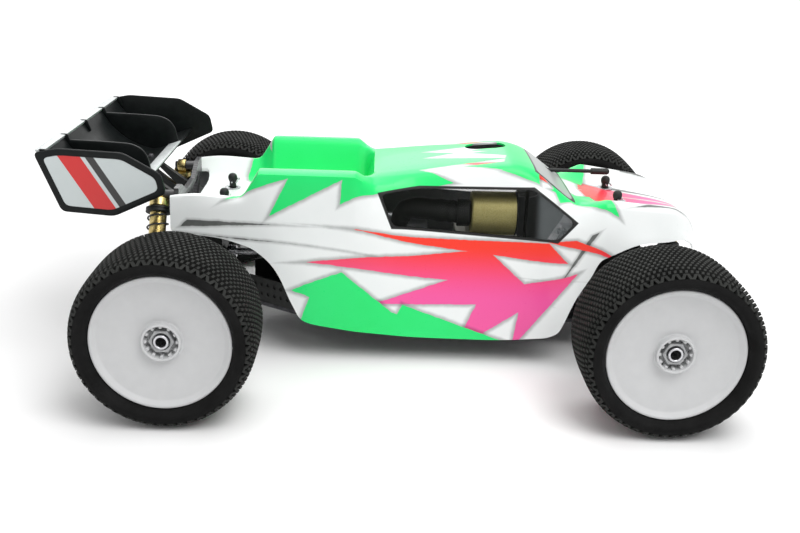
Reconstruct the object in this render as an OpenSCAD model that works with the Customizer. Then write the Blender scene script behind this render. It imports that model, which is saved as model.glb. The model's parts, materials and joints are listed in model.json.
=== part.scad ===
// Remote-controlled off-road truck of about one-eighth scale: four driven wheels on
// sprung arms, a steered front pair, a glow engine and a clip-on painted shell.
// X runs to the front, Y to the left and Z up. The origin is on the ground, under the
// middle of the overall length. Sizes are millimetres.

/* [Wheels] */
// Distance between the front and rear axles
wheelbase = 372; // [350:1:400]
// Width over the outer faces of the tyres
overall_w = 429; // [410:1:450]
// Outside diameter of a tyre
tyre_d = 136; // [126:1:146]
// Width of a tyre at its widest
tyre_w = 74; // [66:1:80]
// Thickness of the tyre's carcass
tyre_wall = 5; // [3.5:0.5:6]
// Depth of the grooves in a tyre's tread
tread_depth = 2.2; // [1:0.2:2.6]
// Number of tread bars round a tyre
tread_bars = 30; // [12:1:36]
// Diameter over the rim's flanges
rim_d = 103; // [98:1:106]
// Width of the rim over its flanges
rim_w = 61; // [56:1:64]
// Wall thickness of the rim and its dish
rim_wall = 3; // [2:0.25:4]
// Radius of the axle in its bearing
axle_r = 4; // [3:0.25:5]

/* [Suspension] */
// Sideways place of the lower arm's inner hinge
arm_in_y = 26; // [24:0.5:28]
// Depth of the lower hinge below the wheel axis
arm_drop = 24; // [23:0.5:26]
// Height of the upper link above the wheel axis
link_rise = 20; // [19:0.5:22]
// Thickness of the lower arm
arm_t = 8; // [6:0.5:9]
// Radius of the hinge pins
pin_r = 2; // [1.5:0.1:2.5]
// Sideways place of the shock's foot on the arm
shock_foot_y = 100; // [96:1:104]
// Height of the front shock's upper eye above the wheel axis
front_shock_rise = 44; // [40:1:46]
// Height of the rear shock's upper eye above the wheel axis
rear_shock_rise = 66; // [60:1:70]
// Radius of the shock's body
shock_r = 7; // [6:0.25:7.25]
// Diameter of the spring wire
spring_wire = 1.6; // [1.2:0.1:1.8]
// Number of turns in a spring
spring_turns = 8; // [6:0.5:9]

/* [Steering] */
// Length of the steering arm on the knuckle and of the cranks
steer_arm = 24; // [22:0.5:26]
// Length of the steering servo
servo_l = 40; // [36:1:42]
// Width of the steering servo
servo_w = 20; // [18:0.5:20]

/* [Chassis] */
// Depth of the chassis underside below the wheel axis
chassis_drop = 40; // [38:0.5:42]
// Thickness of the chassis plate
plate_t = 3.5; // [2.5:0.25:4]
// Half width of the chassis plate amidships
plate_half_w = 62; // [56:1:64]
// Thickness of the shock towers
tower_t = 4; // [3:0.5:5]
// Height of the side guards above the plate
guard_h = 22; // [10:1:24]

/* [Drive] */
// Number of teeth on the spur gear
spur_teeth = 46; // [44:1:48]
// Number of teeth on the clutch bell
bell_teeth = 14; // [13:1:16]
// Radius of the centre shafts
shaft_r = 3; // [2.5:0.25:3.5]

/* [Body and wing] */
// Thickness of the shell
shell_t = 1.6; // [1.2:0.1:2]
// Length from the rear axle back to the wing's trailing edge
rear_overhang = 110.3; // [106:0.5:116]
// Width over the wing's end plates
wing_w = 231; // [200:1:240]
// Thickness of the wing's floor and fins
wing_t = 2.4; // [1.8:0.1:3]
// Sideways place of the wing's inner fins
fin_y = 57; // [50:1:64]
// Radius of the body posts
post_r = 3; // [2.5:0.1:3.5]

/* [Fits] */
// Radial clearance of a pin in its bore
fit = 0.05; // [0.02:0.01:0.1]
// Gap between pieces that seat on each other
seat = 0.05; // [0.02:0.01:0.1]
// Gap between moving pieces that face each other
gap = 0.3; // [0.2:0.05:0.5]

/* [Hidden] */
$fn = 48;
CORNERS = [["front_left", 1, 1], ["front_right", 1, -1], ["rear_left", -1, 1], ["rear_right", -1, -1]];
CORNER_PIECES = ["lower_arm", "upper_link", "drive_shaft", "shock_body", "shock_shaft", "shock_spring", "wheel",
    "tyre"];
FIXED_PIECES = ["chassis_plate", "plastic_guards", "gearbox_cases", "shock_towers", "wing", "wing_mounts",
    "body_shell", "body_posts", "fasteners", "engine", "air_filter", "fuel_tank", "exhaust_pipe", "radio_gear",
    "antenna"];
SINGLE_PIECES = ["caster_block_left", "caster_block_right", "steering_knuckle_left", "steering_knuckle_right",
    "hub_carrier_left", "hub_carrier_right", "tie_rod_left", "tie_rod_right", "servo_saver", "idler_arm",
    "steering_plate", "center_drive", "clutch_bell"];

// The stations below run along the car; these are the stations of the rear and front axles
AXLE_STATIONS = [-186, 186];
// Heights are drawn for a wheel axis at this height and lifted with the tyre
axle_z = 68;
tyre_r = tyre_d / 2;
lift = tyre_r - axle_z;
total_l = rear_overhang + wheelbase + tyre_r;
rear_x = rear_overhang - total_l / 2;
front_x = rear_x + wheelbase;
wheel_y = overall_w / 2 - tyre_w / 2;

// Stations behind this one follow the rear axle, and ahead of the next the front axle
rear_zone = -90;
front_zone = 100;
function axle_x(end) = end > 0 ? front_x : rear_x;
function car_x(x) =
    x <= rear_zone ? rear_x + x - AXLE_STATIONS[0] :
    x >= front_zone ? front_x + x - AXLE_STATIONS[1] :
    let (a = rear_x + rear_zone - AXLE_STATIONS[0], b = front_x + front_zone - AXLE_STATIONS[1])
        a + (x - rear_zone) * (b - a) / (front_zone - rear_zone);

// Suspension, in a corner's own frame: x from the axle to the tower, y outwards
low_z = axle_z - arm_drop;
up_z = axle_z + link_rise;
link_in_y = 30;
king_inset = 37.5;
king_y = wheel_y - king_inset;
arm_l = king_y - link_in_y;
arm_out_y = arm_in_y + arm_l;
arm_half = 17;
ear_in = 9.3;
ear_t = 5;
ear_r = 5.5;
lug_half = ear_in - gap;
neck_half = 7;
stud_r = 1.5;
link_x = 12;
link_w = 5;
ball_r = 4.5;
cup_r = 5.8;
cup_wall = 1.8;
cup_reach = 5;
cup_back = 7;
hub_r = 13;
axle_cup_clear = 0.5;

// Shocks
shock_x = 30;
eye_w = 7;
eye_r = 5.5;
tower_x = 13;
foot_z = low_z + 6;
foot_stud_r = 1.5;
foot_bore = 2.9;
rod_r = 1.75;
cap_z = 4;
collar_z = 12;
collar_t = 4.5;
cup_z = 15.5;
cup_t = 2.5;
spring_r = shock_r + 0.6 + spring_wire / 2;
function shock_top(end) = end > 0 ? [46, axle_z + front_shock_rise] : [50, axle_z + rear_shock_rise];
function shock_l(end) = norm([shock_foot_y, foot_z] - shock_top(end));
function shock_body_l(end) = shock_l(end) - (end > 0 ? 35 : 44);

// Steering, in the front corner's frame
crank_x = -33;
crank_y = 18;
ball_link_y = link_in_y;
tie_z = 51;
tie_ball_r = 3;
tie_ring_r = 5.2;
tie_half = 2;
plate_z = 55.5;
steer_t = 3;

// Chassis and drive
plate_z0 = axle_z - chassis_drop;
plate_top = plate_z0 + plate_t;
case_half_w = 20;
case_r = 15.8;
case_back = 16;
holder_t = 4;
gear_module = 1;
spur_r = spur_teeth * gear_module / 2;
bell_r = bell_teeth * gear_module / 2;
mesh_angle = 30;
mesh_slack = 0.35;
gear_gap = spur_r + bell_r + mesh_slack;
bell_y = -gear_gap * cos(mesh_angle);
bell_z = axle_z - gear_gap * sin(mesh_angle);
spur_x = car_x(4);
spur_w = 10;
// How far out the pieces on the plate reach
bay_y = plate_half_w - 8;

// Post places: station, distance from the middle, height of the top
FRONT_POST = [175.4, 25.4, 138];
REAR_POST = [-165.8, 25.6, 130.4];
clip_r = 0.7;
clip_drop = 3.4;
antenna_y = 20;
antenna_z = 147;
antenna_r = 1.7;

// Puts a piece drawn for the front left corner at any corner
module at_corner(c) {
    translate([axle_x(c[1]), 0, 0])
        mirror([c[1] < 0 ? 1 : 0, 0, 0])
            mirror([0, c[2] < 0 ? 1 : 0, 0])
                children();
}

// Cylinder along X from x0 to x1 at a place across the car
module x_rod(r, x0, x1, y, z) {
    translate([min(x0, x1), y, z]) rotate([0, 90, 0]) cylinder(r = r, h = abs(x1 - x0));
}

// Cylinder along Y from y0 to y1
module y_rod(r, y0, y1, x, z) {
    translate([x, max(y0, y1), z]) rotate([90, 0, 0]) cylinder(r = r, h = abs(y1 - y0));
}

// Box between two corners
module box(a, b) {
    translate(a) cube(b - a);
}

// Plate of an outline in the YZ plane, from x0 to x1
module yz_plate(points, x0, x1) {
    translate([x0, 0, 0]) rotate([90, 0, 90]) linear_extrude(x1 - x0) polygon(points);
}

// Plate of an outline in the XZ plane, from y0 to y1
module xz_plate(points, y0, y1) {
    translate([0, y1, 0]) rotate([90, 0, 0]) linear_extrude(y1 - y0) polygon(points);
}

// Turns a profile of [radius, y] points about the wheel axis
module wheel_turn(points) {
    translate([0, 0, axle_z]) rotate([-90, 0, 0]) rotate_extrude($fn = 96) polygon(points);
}

// Lower arm with its outer hinge pin
module lower_arm() {
    slot_y = arm_out_y - 18;
    outline = [[-arm_half, arm_in_y], [arm_half, arm_in_y], [arm_half, shock_foot_y + 8],
        [ear_in + ear_t, slot_y + 2], [ear_in + ear_t, arm_out_y], [ear_in, arm_out_y], [ear_in, slot_y],
        [-ear_in, slot_y], [-ear_in, arm_out_y], [-ear_in - ear_t, arm_out_y], [-ear_in - ear_t, slot_y + 2],
        [-arm_half, shock_foot_y - 22]];
    window = [[3, 40], [12, 40], [12, 88], [3, 88]];
    color([0.05, 0.055, 0.05]) {
        difference() {
            union() {
                translate([0, 0, low_z - arm_t / 2]) linear_extrude(arm_t) difference() {
                    polygon(outline);
                    polygon(window);
                    mirror([1, 0, 0]) polygon(window);
                }
                x_rod(arm_t / 2 + 2, -arm_half, arm_half, arm_in_y, low_z);
                for (s = [-1, 1]) x_rod(ear_r, s * ear_in, s * (ear_in + ear_t), arm_out_y, low_z);
                x_rod(4.5, 4, shock_x - eye_w / 2 - gap, shock_foot_y, foot_z);
                x_rod(foot_stud_r, 4, shock_x + eye_w / 2 + gap + 0.5, shock_foot_y, foot_z);
                x_rod(4, shock_x + eye_w / 2 + gap, shock_x + eye_w / 2 + gap + 2, shock_foot_y, foot_z);
            }
            x_rod(pin_r + fit, -arm_half - 1, arm_half + 1, arm_in_y, low_z);
            x_rod(pin_r + fit, -ear_in - ear_t - 1, ear_in + ear_t + 1, arm_out_y, low_z);
        }
        x_rod(pin_r, -ear_in - ear_t - 1, ear_in + ear_t + 1, arm_out_y, low_z);
    }
}

// Upper link: two rod ends and a turnbuckle
module upper_link() {
    out_y = link_in_y + arm_l;
    x0 = link_x - link_w / 2;
    color([0.2, 0.2, 0.22]) difference() {
        union() {
            for (y = [link_in_y, out_y]) x_rod(4.5, x0, x0 + link_w, y, up_z);
            y_rod(2.2, link_in_y + 3, out_y - 3, link_x, up_z);
            y_rod(3.2, link_in_y + 6.5, link_in_y + 28, link_x, up_z);
            y_rod(3.2, out_y - 28, out_y - 6.5, link_x, up_z);
        }
        for (y = [link_in_y, out_y]) x_rod(stud_r + fit, x0 - 1, x0 + link_w + 1, y, up_z);
    }
}

// Drive shaft with a ball and a cross pin at each end
module drive_shaft() {
    out_y = link_in_y + arm_l;
    color([0.45, 0.46, 0.48]) {
        y_rod(2.2, link_in_y, out_y, 0, axle_z);
        for (y = [link_in_y, out_y]) {
            translate([0, y, axle_z]) sphere(r = ball_r);
            x_rod(1.2, -cup_r + 0.4, cup_r - 0.4, y, axle_z);
        }
    }
}

// Lug of a carrier for the lower hinge and the stud for the upper link
module carrier_lugs() {
    x_rod(ear_r, -lug_half, lug_half, arm_out_y, low_z);
    x_rod(stud_r, neck_half - 3, link_x + link_w / 2 + 0.5, king_y, up_z);
    x_rod(3, link_x + link_w / 2 + gap, link_x + link_w / 2 + gap + 1.2, king_y, up_z);
}

// Front caster block: a C that holds the knuckle above and below
module caster_block() {
    spine_y = king_y - 19;
    tab_low = 52;
    tab_high = 84.3;
    color([0.05, 0.055, 0.05]) difference() {
        union() {
            box([-12, spine_y, 56], [12, spine_y + 7, 79]);
            box([-neck_half, spine_y, 78], [neck_half, spine_y + 7, up_z + 4]);
            box([-lug_half, spine_y, low_z - ear_r], [lug_half, spine_y + 7, 57]);
            box([-lug_half, spine_y, low_z - ear_r], [lug_half, king_y + 6, tab_low]);
            box([-neck_half, spine_y, tab_high], [neck_half, king_y + 6, up_z + 4]);
            carrier_lugs();
        }
        y_rod(9.5, spine_y - 1, spine_y + 8, 0, axle_z);
        x_rod(pin_r + fit, -lug_half - 1, lug_half + 1, arm_out_y, low_z);
        translate([0, king_y, tab_low - 4.5]) cylinder(r = 2.5 + fit, h = 5);
        translate([0, king_y, tab_high - 1]) cylinder(r = 2.5 + fit, h = 7);
    }
}

// Bearing ring with room for the axle's drive cup
module hub_ring() {
    bore = cup_r + cup_wall + axle_cup_clear;
    difference() {
        children();
        y_rod(bore, king_y - 30, king_y + cup_back + 1, 0, axle_z);
        y_rod(axle_r + fit, king_y, king_y + 30, 0, axle_z);
    }
}

// Front knuckle: bearing ring, two trunnions and the steering arm with its ball
module steering_knuckle() {
    color([0.35, 0.36, 0.38]) hub_ring() {
        y_rod(hub_r, king_y - 7, king_y + 17, 0, axle_z);
        translate([0, king_y, 52.4]) cylinder(r = 5, h = 5);
        translate([0, king_y, 79]) cylinder(r = 5, h = 5);
        translate([0, king_y, 48.3]) cylinder(r = 2.5, h = 9);
        translate([0, king_y, 79]) cylinder(r = 2.5, h = 10);
        box([-steer_arm, king_y - 4, plate_z], [-4, king_y + 4, plate_z + 4]);
        translate([-steer_arm, king_y, plate_z]) cylinder(r = 4, h = 4);
        translate([-steer_arm, king_y, tie_z]) cylinder(r = 1.5, h = plate_z - tie_z + 1);
        translate([-steer_arm, king_y, tie_z]) sphere(r = tie_ball_r);
    }
}

// Rear hub carrier: bearing ring with the lower lug and the upper stud
module hub_carrier() {
    color([0.05, 0.055, 0.05]) difference() {
        hub_ring() {
            y_rod(hub_r, king_y - 12, king_y + 17, 0, axle_z);
            box([-lug_half, arm_out_y - 4, low_z], [lug_half, arm_out_y + 10, 60]);
            box([-neck_half, king_y - 5, 76], [neck_half, king_y + 5, up_z + 4]);
            carrier_lugs();
        }
        x_rod(pin_r + fit, -lug_half - 1, lug_half + 1, arm_out_y, low_z);
    }
}

// Tie rod between the steering plate's ball and the knuckle's ball
module tie_rod() {
    a = [crank_x - steer_arm, ball_link_y, tie_z];
    b = [-steer_arm, ball_link_y + arm_l, tie_z];
    l = norm(b - a);
    turn = atan2(b[1] - a[1], b[0] - a[0]);
    color([0.2, 0.2, 0.22]) translate(a) rotate([0, 0, turn]) difference() {
        union() {
            for (x = [0, l]) translate([x, 0, -tie_half]) cylinder(r = tie_ring_r, h = 2 * tie_half);
            translate([tie_ball_r + 1, 0, 0]) rotate([0, 90, 0]) cylinder(r = 1.9, h = l - 2 * tie_ball_r - 2);
            x_rod(2.6, l / 2 - 12, l / 2 + 12, 0, 0);
        }
        for (x = [0, l]) translate([x, 0, 0]) sphere(r = tie_ball_r + 0.1);
    }
}

// Crank that swings the steering plate, with its stud; the hub turns on a post
module crank() {
    color([0.12, 0.12, 0.13]) difference() {
        union() {
            translate([0, 0, 51.7]) cylinder(r = 6.5, h = 9.3);
            translate([-steer_arm, -4, 51.7]) cube([steer_arm, 8, 3.5]);
            translate([-steer_arm, 0, 51.7]) cylinder(r = 4, h = 3.5);
            translate([-steer_arm, 0, 53]) cylinder(r = pin_r, h = plate_z + steer_t + 1 - 53);
        }
        translate([0, 0, 50]) cylinder(r = 3 + fit, h = 12);
    }
}

module servo_saver() {
    translate([front_x + crank_x, crank_y, 0]) crank();
}

module idler_arm() {
    translate([front_x + crank_x, -crank_y, 0]) crank();
}

// Plate that joins the two cranks and carries the tie rods' balls
module steering_plate() {
    x = front_x + crank_x - steer_arm;
    color([0.55, 0.56, 0.58]) difference() {
        union() {
            box([x - 5, -ball_link_y, plate_z], [x + 5, ball_link_y, plate_z + steer_t]);
            for (s = [-1, 1]) {
                translate([x, s * ball_link_y, plate_z]) cylinder(r = 5, h = steer_t);
                translate([x, s * ball_link_y, tie_z]) cylinder(r = 1.5, h = plate_z - tie_z + 1);
                translate([x, s * ball_link_y, tie_z]) sphere(r = tie_ball_r);
            }
        }
        for (s = [-1, 1]) translate([x, s * crank_y, plate_z - 1]) cylinder(r = pin_r + fit, h = steer_t + 2);
    }
}

// Frame of a shock: z runs from the upper eye down the shock
module on_shock(end) {
    t = shock_top(end);
    translate([shock_x, t[0], t[1]])
        rotate([atan2(t[0] - shock_foot_y, foot_z - t[1]), 0, 0])
            children();
}

// Shock cylinder with its cap, upper eye and spring collar
module shock_body(end) {
    body_l = shock_body_l(end);
    color([0.62, 0.53, 0.28]) on_shock(end) difference() {
        union() {
            x_rod(eye_r, -eye_w / 2, eye_w / 2, 0, 0);
            translate([0, 0, cap_z]) cylinder(r = shock_r + 1, h = collar_z - cap_z);
            translate([0, 0, cap_z]) cylinder(r = shock_r, h = body_l - cap_z);
            translate([0, 0, collar_z]) cylinder(r = spring_r + 1.2, h = collar_t);
        }
        x_rod(2 + fit, -eye_w, eye_w, 0, 0);
        translate([0, 0, 10]) cylinder(r = shock_r - 1.4, h = body_l - 14);
        translate([0, 0, body_l - 5]) cylinder(r = rod_r + fit, h = 6);
    }
}

// Shock rod with its piston, spring cup and lower eye
module shock_shaft(end) {
    l = shock_l(end);
    piston_z = shock_body_l(end) - 18.5;
    color([0.5, 0.5, 0.52]) on_shock(end) difference() {
        union() {
            translate([0, 0, piston_z]) cylinder(r = rod_r, h = l - piston_z);
            translate([0, 0, piston_z]) cylinder(r = shock_r - 1.5, h = 2);
            translate([0, 0, l - cup_z]) cylinder(r = spring_r + 1.2, h = cup_t);
            translate([0, 0, l - cup_z]) cylinder(r = eye_w / 2 - 0.1, h = cup_z - 3);
            x_rod(eye_r, -eye_w / 2, eye_w / 2, 0, l);
        }
        x_rod(foot_bore, -eye_w, eye_w, 0, l);
    }
}

// Points of a spring's centre line: a straight end, the turns and a straight end
rings_per_turn = 8;
function helix(z0, z1) = let (n = spring_turns * rings_per_turn) concat(
    [[spring_r, -spring_wire, z0]],
    [for (i = [0 : n])
        let (a = 360 * i / rings_per_turn) [spring_r * cos(a), spring_r * sin(a), z0 + (z1 - z0) * i / n]],
    [let (a = 360 * spring_turns)
        [spring_r * cos(a) - spring_wire * sin(a), spring_r * sin(a) + spring_wire * cos(a), z1]]);

// Least space between one turn of the wire and another
function turn_gap(p) = min([for (i = [0 : len(p) - 1]) for (j = [i + rings_per_turn - 2 : 1 : len(p) - 1])
    norm(p[i] - p[j])]) - spring_wire;

// Closed tube of six sides along a list of points
module wire_tube(p, r) {
    sides = 6;
    last = len(p) - 1;
    function way(i) = let (d = p[min(i + 1, last)] - p[max(i - 1, 0)]) d / norm(d);
    function out(i) = let (q = [p[i][0], p[i][1], 0], d = way(i), e = q - d * (q * d)) e / norm(e);
    ring = [for (i = [0 : last]) let (u = out(i), v = cross(way(i), u))
        for (k = [0 : sides - 1]) p[i] + r * (u * cos(360 * k / sides) + v * sin(360 * k / sides))];
    function at(i, k) = i * sides + k % sides;
    walls = [for (i = [0 : last - 1]) for (k = [0 : sides - 1]) for (t = [0, 1])
        t == 0 ? [at(i, k), at(i + 1, k), at(i + 1, k + 1)] : [at(i, k), at(i + 1, k + 1), at(i, k + 1)]];
    ends = [for (k = [1 : sides - 2]) for (t = [0, 1])
        t == 0 ? [at(0, 0), at(0, k), at(0, k + 1)] : [at(last, 0), at(last, k + 1), at(last, k)]];
    polyhedron(points = ring, faces = concat(walls, ends));
}

// Coil spring between the collar and the cup
module shock_spring(end) {
    seat_room = spring_wire / 2 + gap;
    p = helix(collar_z + collar_t + seat_room, shock_l(end) - cup_z - seat_room);
    echo(spring_gap = turn_gap(p));
    color([0.03, 0.03, 0.03]) on_shock(end) wire_tube(p, spring_wire / 2);
}

// Dished rim, axle with its drive cup and hexagon, and wheel nut
module wheel() {
    out_y = wheel_y + rim_w / 2;
    in_y = wheel_y - rim_w / 2;
    flange_r = rim_d / 2;
    barrel_r = flange_r - 5.5;
    hex_y = wheel_y - 3;
    hub_tube_r = 14.5;
    stub_r = 5.6;
    nut_y = out_y - 10;
    cup_out = cup_r + cup_wall;
    color([0.85, 0.86, 0.87]) wheel_turn([
        [stub_r + fit, hex_y + seat], [hub_tube_r, hex_y + seat], [hub_tube_r, out_y - 9 - rim_wall],
        [barrel_r - rim_wall, out_y - 4 - rim_wall], [barrel_r - rim_wall, in_y], [flange_r, in_y],
        [flange_r, in_y + rim_wall], [barrel_r, in_y + rim_wall + 2], [barrel_r, out_y - rim_wall - 2],
        [flange_r, out_y - rim_wall], [flange_r, out_y], [barrel_r - 1, out_y - 3.5],
        [hub_tube_r, out_y - 7], [hub_tube_r, out_y - 1.5], [hub_tube_r - 2, out_y - 1.5],
        [hub_tube_r - 2, nut_y], [stub_r + fit, nut_y]]);
    color([0.55, 0.56, 0.58]) {
        wheel_turn([[0, king_y + 5.5], [cup_r, king_y + 5.5], [cup_r, king_y - cup_reach],
            [cup_out, king_y - cup_reach], [cup_out, king_y + cup_back], [axle_r, king_y + cup_back],
            [axle_r, hex_y - 8], [stub_r, hex_y - 8], [stub_r, out_y - 2.5], [3.8, out_y - 2.5],
            [3.8, nut_y - 6], [0, nut_y - 6]]);
        translate([0, hex_y, axle_z]) rotate([90, 0, 0]) difference() {
            cylinder(r = 9.8, h = 8, $fn = 6);
            translate([0, 0, -1]) cylinder(r = stub_r - 1, h = 10);
        }
    }
    color([0.75, 0.76, 0.78]) wheel_turn([[stub_r + fit, nut_y + seat], [9.5, nut_y + seat],
        [9.5, nut_y + 5.5], [stub_r + fit, nut_y + 5.5]]);
}

// Tyre: a hollow carcass on the rim's flanges, with a tread of bars parted by grooves across it
module tyre() {
    flange_r = rim_d / 2;
    bead_y = rim_w / 2 + seat;
    side_r = tyre_r - lift - 10;
    half = tyre_w / 2;
    shoulder = half - 13;
    seat_r = flange_r + 0.4;
    groove_w = 0.4 * PI * tyre_d / tread_bars;
    crown = [[seat_r, bead_y], [flange_r + 2.5, half - 2.2], [side_r - 1, half], [side_r + 4.3, half - 2.2],
        [side_r + 7.4, half - 6.5], [side_r + 9.2, shoulder], [axle_z - 0.1, half - 23]];
    outer = concat(crown, [[axle_z, 0]], [for (i = [len(crown) - 1 : -1 : 0]) [crown[i][0], -crown[i][1]]]);
    bed = [[seat_r, bead_y - tyre_wall], [side_r - 2, half - tyre_wall], [axle_z - tyre_wall, shoulder - tyre_wall]];
    inner = concat([for (p = bed) [p[0], -p[1]]], [for (i = [len(bed) - 1 : -1 : 0]) bed[i]]);
    // The tyre keeps its own radius while the rest is lifted with it
    stretch = tyre_r - axle_z;
    function grown(p) = [p[0] + (p[0] > axle_z - 14 ? stretch : 0), p[1] + wheel_y];
    color([0.06, 0.06, 0.06]) difference() {
        wheel_turn([for (p = concat(outer, inner)) grown(p)]);
        translate([0, wheel_y, axle_z]) for (i = [1 : tread_bars]) rotate([0, i * 360 / tread_bars, 0])
            translate([0, 0, tyre_r]) cube([groove_w, 2 * tyre_w, 2 * tread_depth], center = true);
    }
}

// Chassis plate, narrow under the gearboxes
module chassis_plate() {
    half = [[car_x(-210), 20], [car_x(-150), 20], [car_x(-84), plate_half_w], [car_x(84), plate_half_w],
        [car_x(140), 52], [car_x(166), 48], [car_x(172), 20], [car_x(210), 20]];
    outline = concat(half, [for (i = [len(half) - 1 : -1 : 0]) [half[i][0], -half[i][1]]]);
    color([0.25, 0.26, 0.28]) translate([0, 0, plate_z0]) linear_extrude(plate_t) polygon(outline);
}

// Side guards with two rows of blind holes, and the front bumper
module plastic_guards() {
    wall = 2.4;
    rows = [plate_top + guard_h * 0.35, plate_top + guard_h * 0.72];
    tail = [car_x(-146), 21.5];
    knee = [car_x(-86), plate_half_w - 1];
    nose = [car_x(82), plate_half_w - 1];
    step = [0, wall];
    turn = atan2(knee[1] - tail[1], knee[0] - tail[0]);
    run = norm(knee - tail);
    color([0.03, 0.035, 0.03]) {
        for (s = [0, 1]) mirror([0, s, 0]) difference() {
            translate([0, 0, plate_top + seat]) linear_extrude(guard_h)
                polygon([tail - step, knee - step, nose - step, nose, knee, tail]);
            for (z = rows) for (i = [1 : 9]) translate(concat(tail + (knee - tail) * i / 10, z))
                rotate([0, 0, turn]) y_rod(min(1.7, run / 30), -wall / 2, 8, 0, 0);
        }
        difference() {
            box([car_x(210) + seat, -46, plate_z0 + 0.5], [car_x(244), 46, plate_z0 + 12]);
            for (s = [-1, 1]) translate([car_x(244), s * 46, plate_z0]) rotate([0, 0, 45]) cube([26, 26, 40], center = true);
            for (y = [-24, 0, 24]) translate([car_x(229), y, plate_z0]) cylinder(r = 8, h = 20);
        }
    }
}

// One gearbox case with its hinge holders, link brackets and drive cups
module gearbox_case() {
    holder_x = arm_half + gap;
    cup_out = cup_r + cup_wall;
    difference() {
        union() {
            box([-case_back, -case_half_w, plate_top], [tower_x - seat, case_half_w, up_z + 4]);
            y_rod(case_r, -case_half_w, case_half_w, 0, axle_z);
            for (x = [-holder_x - holder_t, holder_x])
                box([x, -arm_in_y - 6, plate_top], [x + holder_t, arm_in_y + 6, low_z + 6]);
            box([-holder_x - 1, -12, plate_top], [holder_x + 1, 12, low_z + 6]);
            for (s = [0, 1]) mirror([0, s, 0]) {
                box([4, 10, up_z - 4], [link_x - link_w / 2 - gap, link_in_y + 4, up_z + 4]);
                x_rod(stud_r, 5, link_x + link_w / 2 + 0.5, link_in_y, up_z);
                x_rod(3, link_x + link_w / 2 + gap, link_x + link_w / 2 + gap + 1.2, link_in_y, up_z);
                y_rod(cup_out, case_half_w - 1, link_in_y + cup_reach, 0, axle_z);
            }
        }
        for (s = [0, 1]) mirror([0, s, 0]) {
            y_rod(cup_r, link_in_y - 5.5, link_in_y + cup_reach + 1, 0, axle_z);
            x_rod(pin_r + fit, -holder_x - holder_t - 1, holder_x + holder_t + 1, arm_in_y, low_z);
        }
        x_rod(shaft_r + fit, -case_back - 1, -case_back + 8, 0, axle_z);
    }
}

// Front and rear gearbox cases, and the two centre bearing plates
module gearbox_cases() {
    color([0.04, 0.045, 0.04]) {
        translate([front_x, 0, 0]) gearbox_case();
        translate([rear_x, 0, 0]) mirror([1, 0, 0]) gearbox_case();
        for (x = [spur_x - 16, spur_x + spur_w + 12]) difference() {
            yz_plate([[-13, plate_top], [13, plate_top], [9, axle_z + 8], [-9, axle_z + 8]], x, x + 5);
            x_rod(shaft_r + fit, x - 1, x + 6, 0, axle_z);
        }
    }
}

// Tower plate with its two shock studs, in the front corner's frame
module shock_tower(end) {
    t = shock_top(end);
    top = t[1] + 7;
    half = [[0, axle_z + 10], [15, axle_z + 10], [18, up_z + 8], [t[0] - 2, t[1] - 10], [t[0] + 6, t[1] - 6],
        [t[0] + 6, top], [t[0] - 8, top], [20, top - 10], [0, top - 10]];
    outline = concat(half, [for (i = [len(half) - 1 : -1 : 0]) [-half[i][0], half[i][1]]]);
    slot = [[10, up_z + 10], [t[0] - 8, t[1] - 2], [22, top - 15], [10, top - 15]];
    difference() {
        yz_plate(outline, tower_x, tower_x + tower_t);
        for (s = [0, 1]) mirror([0, s, 0]) yz_plate(slot, tower_x - 1, tower_x + tower_t + 1);
    }
    for (s = [-1, 1]) {
        x_rod(4, tower_x + tower_t - 1, shock_x - eye_w / 2 - gap, s * t[0], t[1]);
        x_rod(2, tower_x + tower_t, shock_x + eye_w / 2 + 1.5, s * t[0], t[1]);
        x_rod(3.6, shock_x + eye_w / 2 + gap, shock_x + eye_w / 2 + 2.5, s * t[0], t[1]);
    }
}

module shock_towers() {
    color([0.07, 0.07, 0.075]) {
        translate([front_x, 0, 0]) shock_tower(1);
        translate([rear_x, 0, 0]) mirror([1, 0, 0]) shock_tower(-1);
    }
}

// Wing: side outline of an end plate, from the trailing edge round
PLATE_SIDE = [[-296.3, 182.4], [-277.8, 186.3], [-228.4, 184.3], [-199.9, 168.4], [-196.7, 152.6],
    [-237.6, 133.5], [-277.9, 136.4]];
FLOOR_SIDE = [[-218.5, 155.5], [-229, 152], [-238, 148.5], [-248, 148.5], [-266, 156], [-281, 169], [-290, 183]];
FIN_SIDE = [[-219, 150], [-248, 146.5], [-266, 154], [-281, 167], [-287.5, 180.2], [-256, 179.4], [-236, 178.3],
    [-227.6, 174.8], [-222.6, 168]];
wing_shift = rear_x - rear_overhang - min([for (p = PLATE_SIDE) p[0]]);
function wing_at(p) = [p[0] + wing_shift, p[1]];
function thick(path, t) = concat(path, [for (i = [len(path) - 1 : -1 : 0])
    let (d = path[min(i + 1, len(path) - 1)] - path[max(i - 1, 0)]) path[i] + t * [-d[1], d[0]] / norm(d)]);

module wing() {
    half_w = wing_w / 2;
    floor_path = [for (p = FLOOR_SIDE) wing_at(p)];
    lip = wing_at(FLOOR_SIDE[len(FLOOR_SIDE) - 1]);
    fin = [for (p = FIN_SIDE) wing_at(p)];
    color([0.03, 0.035, 0.035]) {
        xz_plate(thick(floor_path, wing_t), wing_t / 2 - half_w, half_w - wing_t / 2);
        for (s = [-1, 1]) {
            xz_plate([for (p = PLATE_SIDE) wing_at(p)], s * (half_w - wing_t / 2) - wing_t / 2,
                s * (half_w - wing_t / 2) + wing_t / 2);
            xz_plate(fin, s * fin_y - wing_t / 2, s * fin_y + wing_t / 2);
        }
        box([lip[0] - 2.5, wing_t / 2 - half_w, lip[1] - 3], [lip[0] + 2, half_w - wing_t / 2, lip[1] + 1.5]);
    }
}

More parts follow.
